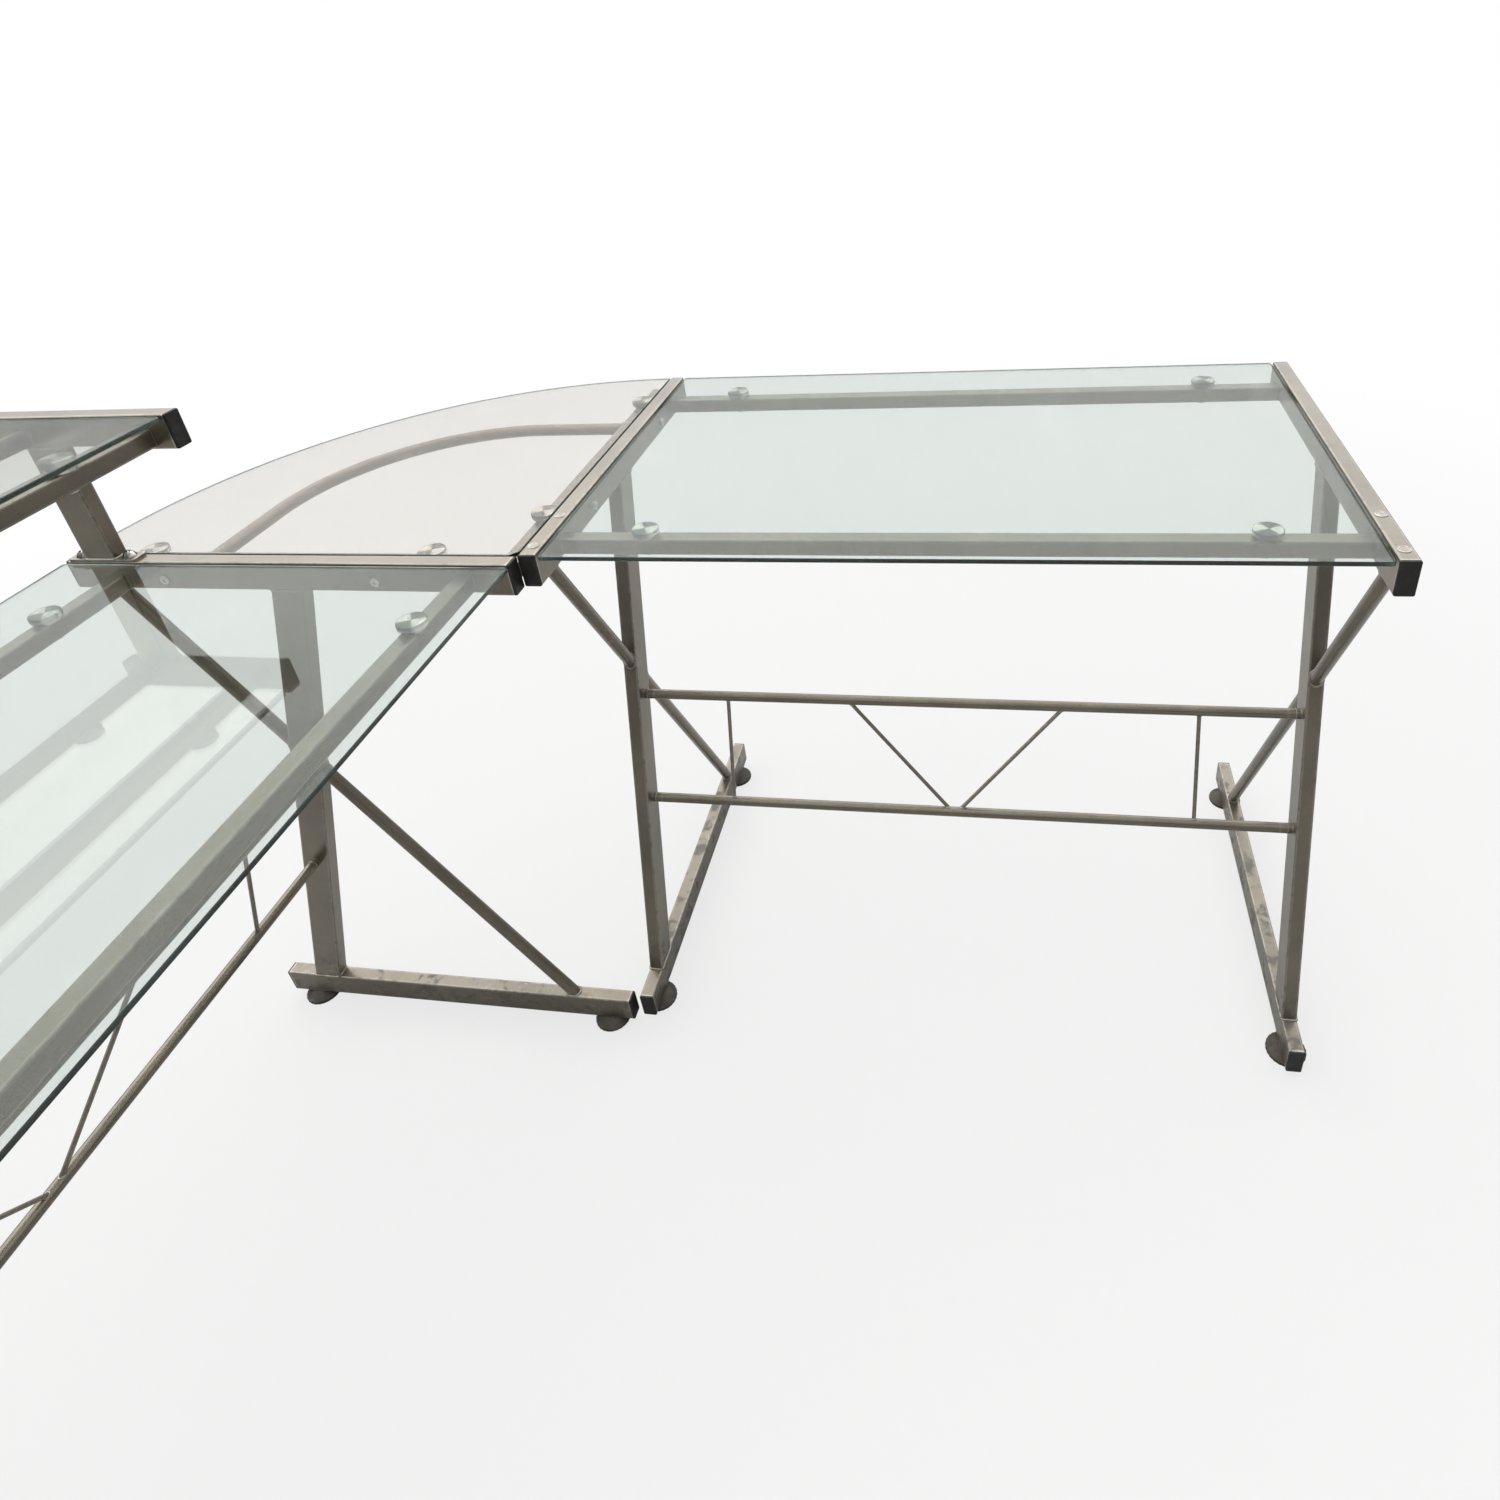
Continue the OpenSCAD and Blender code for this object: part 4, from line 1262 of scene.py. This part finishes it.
@dataclass
class CornerTop:
    """The quarter-round glass with its two bars and the bent brace."""

    finishes: Finishes
    arris: float = 0.7 * MM
    cut_corner: float = 8.5 * MM
    arc_steps: int = 96
    brace_diameter: float = 16 * MM
    bead_radius: float = 1.4 * MM

    def dress(self) -> None:
        """Covers the bars and the brace, and builds the glass and the brace's welds."""
        cover(["corner_bar_right", "corner_bar_left", "corner_brace"], self.finishes.coat)
        cover(["corner_spacers"], self.finishes.plating)
        self.add_glass()
        self.add_welds()

    def add_glass(self) -> None:
        """The quarter disc: an arc about the inner corner, two straight edges and a small cut corner."""
        low, high = (np.array(corner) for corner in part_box("corner_glass"))
        inner = np.array([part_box("right_inner_rail")[0].x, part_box("left_inner_rail")[1].y])
        radius = high[1] - inner[1]
        start = math.pi / 2 + math.asin((inner[0] - high[0]) / radius)
        end = math.pi - math.asin((low[1] - inner[1]) / radius)
        angle = np.linspace(start, end, self.arc_steps)
        arc = inner + radius * np.column_stack([np.cos(angle), np.sin(angle)])
        cut = [(high[0] - self.cut_corner, low[1]), (high[0], low[1] + self.cut_corner)]
        outline = np.vstack([arc, cut])
        sheet = sheet_of_glass(outline, low[2], high[2], self.arris)
        looks = [self.finishes.corner_glass, self.finishes.glass_edge]
        piece = make_object("corner_glass_sheet", sheet, looks, 30)
        add_piece(piece, replaced=("corner_glass",))

    def add_welds(self) -> None:
        """Beads where the brace meets the two bars."""
        brace_low, brace_high = (np.array(corner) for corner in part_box("corner_brace"))
        middle_z = (brace_low[2] + brace_high[2]) / 2
        half = self.brace_diameter / 2
        x_way, y_way = np.array([1.0, 0, 0]), np.array([0, 1.0, 0])
        ends = [
            (np.array([brace_low[0] + half, brace_low[1], middle_z]), y_way, x_way),
            (np.array([brace_high[0], brace_high[1] - half, middle_z]), x_way, y_way),
        ]
        section = ring_outline(half, 48)
        beads = []
        for centre, axis, across in ends:
            ring = ring_on_plane(centre, axis, across, section, centre, axis)
            beads.append(bead(resampled(ring, 80), axis, self.bead_radius, 2.6 * MM, 0.2))
        piece = make_object("corner_brace_welds", join(beads), [self.finishes.coat], 60)
        add_piece(piece)


@dataclass
class Shelf:
    """The raised shelf: posts, rails, cross rails, caps and glass."""

    finishes: Finishes
    plate_thickness: float = 3 * MM

    def dress(self) -> None:
        """Covers the tubes and builds the welds, caps and glass."""
        ends = [f"shelf_{end}_{part}" for end in ("inner", "outer") for part in ("post", "rail")]
        cover(ends + ["shelf_front_cross_rail", "shelf_back_cross_rail"], self.finishes.coat)
        GlassTop("shelf_glass", self.finishes.shelf_glass, self.finishes.glass_edge).dress()
        self.add_welds()
        self.add_caps()

    def add_welds(self) -> None:
        """Beads round the posts, on their base plates and under the shelf rails."""
        place = WingPlace(Side.LEFT)
        up = np.array([0, 0, 1.0])
        section = TUBE.section()
        beads = []
        for end in ("inner", "outer"):
            low, high = (np.array(corner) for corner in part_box(f"shelf_{end}_post"))
            plate_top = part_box(f"left_{end}_rail")[1].z + self.plate_thickness
            for height in (plate_top, high[2]):
                centre = np.array([(low[0] + high[0]) / 2, (low[1] + high[1]) / 2, height])
                ring = ring_on_plane(centre, up, place.along, section, centre, up)
                beads.append(TUBE.weld(ring, up, height))
        piece = make_object("shelf_welds", join(beads), [self.finishes.coat], 60)
        add_piece(piece)

    def add_caps(self) -> None:
        """Rounded caps on the shelf rails."""
        place = WingPlace(Side.LEFT)
        low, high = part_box("shelf_inner_rail")
        middle = np.array((low + high) / 2)
        parts = [tube_cap(*box_of(solid), place, middle) for solid in solids_of("shelf_caps")]
        piece = make_object("shelf_end_caps", join(parts), [self.finishes.caps], 50)
        add_piece(piece, replaced=("shelf_caps",))


@dataclass
class Hardware:
    """Pads, screws, bolts and plugs, each placed on the solid that the frame holds for it."""

    finishes: Finishes
    around: int = 48
    screw_steps: int = 96
    dome_height: float = 7 * MM
    dome_power: float = 2.4
    cross_depth: float = 2.6 * MM
    cross_reach: float = 0.52
    hub_reach: float = 0.16
    bolt_head: float = 3 * MM
    bolt_shank: float = 3 * MM
    bolt_edge: float = 1.6 * MM
    socket_half: float = 2.0 * MM

    def dress(self) -> None:
        """Builds every group of fasteners in place of its CAD node."""
        self.group("glass_pads", "turned_pads", self.pad, self.finishes.pads, "pad_chrome")
        self.group("shelf_screws", "domed_screws", self.domed_screw, self.finishes.screws, "pad_chrome")
        self.group("rail_plugs", "round_plugs", self.plug, self.finishes.plugs, "plug_plastic")
        self.group("frame_bolts", "socket_bolts", self.bolt, self.finishes.plating, "zinc")
        cover(["pad_screws"], self.finishes.plating)

    def group(self, node: str, name: str, shape: Callable[[np.ndarray], Surface],
              finish: bpy.types.Material, slot: str) -> None:
        """One piece that holds a shape for every solid of a grouped node."""
        parts = [shape(solid) for solid in solids_of(node)]
        piece = make_object(name, join(parts), [finish], 35)
        add_piece(piece, replaced=(node,))

    def upright(self, solid: np.ndarray, profile: np.ndarray) -> Surface:
        """A turned profile set upright at the middle of a solid."""
        low, high = box_of(solid)
        centre = np.array([(low[0] + high[0]) / 2, (low[1] + high[1]) / 2, 0])
        return lathe(profile, self.around).moved(np.eye(3), centre)

    def pad(self, solid: np.ndarray) -> Surface:
        """A pad: foot, undercut, straight side with a groove, soft edge and a faintly dished top."""
        low, high = box_of(solid)
        radius, tall = (high[0] - low[0]) / 2, high[2] - low[2]
        edge = 1.3 * MM
        turn = np.linspace(0, math.pi / 2, 6)
        rim = np.column_stack([radius - edge * (1 - np.cos(turn)), tall - edge * (1 - np.sin(turn))])
        side = np.array([
            (0.0, 0.0), (0.78 * radius, 0.0), (0.80 * radius, 0.2 * MM), (0.80 * radius, 0.28 * tall),
            (radius - 0.5 * MM, 0.30 * tall), (radius, 0.36 * tall), (radius, 0.50 * tall),
            (radius - 0.5 * MM, 0.54 * tall), (radius - 0.5 * MM, 0.58 * tall), (radius, 0.62 * tall),
        ])
        dish = np.linspace(1.0, 0.0, 9)[1:]
        top = np.column_stack([(radius - edge) * dish, tall - 0.15 * MM * (1 - dish**2)])
        profile = np.vstack([side, rim, top])
        profile[:, 1] += low[2]
        return self.upright(solid, profile)

    def domed_screw(self, solid: np.ndarray) -> Surface:
        """A domed head with a cross recess.

        The height over the seat is dome (1 - q ^ power) for q = r / R. With f = 1 - (q / reach) ^ 2, the
        recess takes off depth sqrt(f) times f (1 + cos 4a) ^ 3 / 2 plus a round hub, kept from 0 to 1.
        """
        low, high = box_of(solid)
        radius, seat = (high[0] - low[0]) / 2, high[2] - self.dome_height
        share = np.concatenate([[1.0, 1.0, 0.995], np.linspace(0.98, 0.0, 26)])
        angle = 2 * math.pi * np.arange(self.screw_steps) / self.screw_steps
        crown = self.dome_height * (1 - share**self.dome_power)
        crown[:2] = (0.0, 0.5 * MM)
        fade = np.clip(1 - (share[:, None] / self.cross_reach) ** 2, 0, 1)
        arms = (1 + np.cos(4 * angle))[None, :] ** 3 / 2
        hub = np.clip(1 - share[:, None] / self.hub_reach, 0, 1)
        sink = self.cross_depth * np.sqrt(fade) * np.clip(arms * fade + hub, 0, 1)
        height = seat + crown[:, None] - sink
        reach = radius * share[:, None]
        points = np.stack([reach * np.cos(angle), reach * np.sin(angle), height], axis=-1).reshape(-1, 3)
        centre = np.array([(low[0] + high[0]) / 2, (low[1] + high[1]) / 2, 0])
        faces = grid_faces(len(share), self.screw_steps, False, True)
        faces += [list(range(self.screw_steps))]
        return Surface(points + centre, faces, points[:, :2].copy())

    def plug(self, solid: np.ndarray) -> Surface:
        """A low plug: bevelled lip, a ring groove and a flat middle."""
        low, high = box_of(solid)
        radius, top = (high[0] - low[0]) / 2, high[2]
        lip, groove = 0.8 * MM, 0.35 * MM
        profile = np.array([
            (0.0, top - lip), (radius, top - lip), (radius, top - 0.55 * lip), (radius - 0.5 * MM, top),
            (0.74 * radius, top), (0.70 * radius, top - groove), (0.64 * radius, top - groove),
            (0.60 * radius, top), (0.0, top),
        ])
        return self.upright(solid, profile)

    def bolt(self, solid: np.ndarray) -> Surface:
        """A button head with a hexagon socket, and its shank.

        The head's height is a quarter circle of the radius near its rim. Inside the hexagon, where
        r cos(a - nearest flat) is under the socket's half width, the face drops to the socket's floor.
        """
        low, high = box_of(solid)
        axis = int(np.argmax(high - low))
        along = np.eye(3)[axis]
        middle = (low + high) / 2
        spread = np.linalg.norm((solid - middle) * (1 - along), axis=1)
        head_at_low = solid[spread > spread.max() - 0.1 * MM][:, axis].mean() < middle[axis]
        inward = along if head_at_low else -along
        start = middle + along * ((low if head_at_low else high)[axis] - middle[axis])
        head, radius, shank = self.bolt_head, spread.max(), self.bolt_shank
        length = high[axis] - low[axis]
        turn = np.linspace(0, math.pi / 2, 7)
        edge = self.bolt_edge
        rim = np.column_stack([radius - edge * (1 - np.cos(turn)), edge * (1 - np.sin(turn))])
        socket = self.socket_half
        face = [(socket + 0.35 * MM, 0.0), (socket, 0.12 * MM), (socket, 1.8 * MM)]
        face += [(socket * 0.5, 2.0 * MM), (0, 2.1 * MM)]
        profile = np.vstack([[(0, length), (shank, length), (shank, head), (radius, head)], rim, face])
        surface = lathe(profile, self.around)
        angle = 2 * math.pi * np.arange(self.around) / self.around
        flat = np.mod(angle, math.pi / 3) - math.pi / 6
        hexagon = np.ones((len(profile), self.around))
        hexagon[-4:-1, :] = (1 / np.cos(flat))[None, :] * 0.93
        surface.points[:, :2] *= hexagon.reshape(-1, 1)
        other = np.roll(along, 1)
        turned = np.column_stack([other, np.cross(inward, other), inward])
        return surface.moved(turned, start)


# ---------------------------------------------------------------- studio


@dataclass(frozen=True)
class Lamp:
    """A soft square lamp, aimed at the desk."""

    name: str
    place: tuple[float, float, float]
    size: float
    power: float
    colour: Colour = (1.0, 1.0, 1.0)

    def build(self, aim: Vector) -> None:
        """Adds the lamp, facing a point."""
        light = bpy.data.lights.new(self.name, "AREA")
        light.shape = "SQUARE"
        light.size = self.size
        light.energy = self.power
        light.color = self.colour
        lamp = bpy.data.objects.new(self.name, light)
        lamp.visible_glossy = False
        lamp.visible_transmission = False
        lamp.visible_camera = False
        lamp.location = self.place
        lamp.rotation_euler = (aim - Vector(self.place)).to_track_quat("-Z", "Y").to_euler()
        bpy.context.scene.collection.objects.link(lamp)


@dataclass
class Studio:
    """Pale floor, soft lamps, white surroundings and the camera."""

    floor_radius: float = 14.0
    floor_colour: Colour = (0.36, 0.36, 0.355)
    floor_glow: float = 0.72
    fade_from: float = 1.3
    fade_to: float = 3.2
    glass_shine: float = 0.3
    wall_shine: float = 0.28
    ceiling_near: float = 3.0
    ceiling_far: float = 0.7
    wall_top: float = 0.08
    ceiling_edge: float = 0.50
    window_side: tuple[float, float, float] = (-0.62, 0.72, 0.31)
    eye: tuple[float, float, float] = (0.3475, -0.6559, 1.2451)
    heading: float = -11.364
    pitch: float = -30.210
    roll: float = -5.335
    lens: float = 23.705
    shift: tuple[float, float] = (-0.0651, -0.1222)
    lamps: tuple[Lamp, ...] = (
        Lamp("window_lamp", (-1.8, 2.4, 3.0), 2.4, 30.0, (1.0, 0.96, 0.90)),
        Lamp("ceiling_lamp", (0.3, 0.1, 3.4), 2.6, 22.0),
        Lamp("room_lamp", (1.8, -3.2, 1.6), 2.2, 4.0, (0.96, 0.98, 1.0)),
    )

    def build(self) -> None:
        """Makes the whole studio."""
        scene = bpy.context.scene
        scene.view_settings.view_transform = "Standard"
        self.add_floor()
        self.set_world()
        for lamp in self.lamps:
            lamp.build(Vector((0.0, 0.0, 0.6)))
        self.add_camera()

    def add_floor(self) -> None:
        """A flat round floor, which the camera sees fade to white away from the desk."""
        ring = np.column_stack([ring_outline(self.floor_radius, 96), np.zeros(96)])
        floor = make_object("floor", Surface(ring, [list(range(96))]), [self.floor_material()], 30)

    def floor_material(self) -> bpy.types.Material:
        """Matt mid-grey floor. The camera and rays through glass see it paled, and plain white far away."""
        material, tree = new_material("studio_floor")
        matt = tree.add("BsdfDiffuse", {}, Color=opaque(self.floor_colour))
        white = tree.add("Emission", {}, Color=(1, 1, 1, 1), Strength=1.0)
        place = tree.add("TexCoord").outputs["Object"]
        reach = tree.add("VectorMath", {"operation": "LENGTH"})
        tree.give(reach, 0, place)
        far = tree.ramp(reach.outputs["Value"], self.fade_from, self.fade_to)
        path = tree.add("LightPath")
        seen = tree.most(path.outputs["Is Camera Ray"], path.outputs["Is Transmission Ray"])
        share = tree.times(seen, tree.level(far, self.floor_glow, 1.0))
        mix = tree.add("MixShader")
        tree.give(mix, 0, share)
        tree.give(mix, 1, matt.outputs[0])
        tree.give(mix, 2, white.outputs[0])
        output = tree.add("OutputMaterial")
        tree.tree.links.new(mix.outputs[0], output.inputs["Surface"])
        return material

    def set_world(self) -> None:
        """Surroundings that are white to the camera and through glass, and darker walls when mirrored."""
        world = bpy.data.worlds.new("surroundings")
        world.use_nodes = True
        tree = Tree(world.node_tree)
        path = tree.add("LightPath")
        direction = tree.add("TexCoord").outputs["Generated"]
        upward = tree.add("SeparateXYZ", {}, Vector=direction).outputs["Z"]
        window = tree.add("VectorMath", {"operation": "DOT_PRODUCT"})
        tree.give(window, 0, direction)
        tree.give(window, 1, self.window_side)
        toward = tree.ramp(window.outputs["Value"], -0.6, 0.8)
        bright = tree.level(toward, self.ceiling_far, self.ceiling_near)
        passed = path.outputs["Is Transmission Ray"]
        wall = tree.level(passed, self.wall_shine, 1.0)
        room = tree.level(tree.ramp(upward, self.wall_top, self.ceiling_edge), wall, bright)
        sharp = tree.times(path.outputs["Is Singular Ray"], tree.minus(1.0, passed))
        strength = tree.level(sharp, room, self.glass_shine)
        back = tree.add("Background", {}, Color=(1, 1, 1, 1))
        tree.give(back, "Strength", tree.level(path.outputs["Is Camera Ray"], strength, 1.0))
        output = tree.add("OutputWorld")
        tree.tree.links.new(back.outputs[0], output.inputs["Surface"])
        bpy.context.scene.world = world

    def add_camera(self) -> None:
        """The camera, turned from its heading, pitch and roll."""
        heading, pitch, roll = (math.radians(value) for value in (self.heading, self.pitch, self.roll))
        flat = math.cos(pitch)
        forward = Vector((math.sin(heading) * flat, math.cos(heading) * flat, math.sin(pitch)))
        level = forward.cross(Vector((0, 0, 1))).normalized()
        up = level.cross(forward)
        right = level * math.cos(roll) + up * math.sin(roll)
        top = right.cross(forward)
        data = bpy.data.cameras.new("camera")
        data.lens = self.lens
        data.sensor_width = 36.0
        data.shift_x, data.shift_y = self.shift
        camera = bpy.data.objects.new("camera", data)
        turned = Matrix((right, top, -forward)).transposed().to_4x4()
        camera.matrix_world = Matrix.Translation(self.eye) @ turned
        bpy.context.scene.collection.objects.link(camera)
        bpy.context.scene.camera = camera


def main() -> None:
    """Builds the desk's looks in order and reports each piece."""
    logging.basicConfig(level=logging.INFO, format="%(name)s %(message)s")
    finishes = Finishes.build()
    for side in Side:
        place = WingPlace(side)
        for end in ("inner", "outer"):
            SideFrame(place, end, finishes).dress()
        Truss(place, finishes).dress()
        cover([place.node("toe_cross_rail"), place.node("heel_cross_rail")], finishes.coat)
        GlassTop(place.node("glass"), finishes.wing_glass, finishes.glass_edge).dress()
    CornerTop(finishes).dress()
    Shelf(finishes).dress()
    Hardware(finishes).dress()
    Studio().build()


if __name__ == "__main__":
    main()
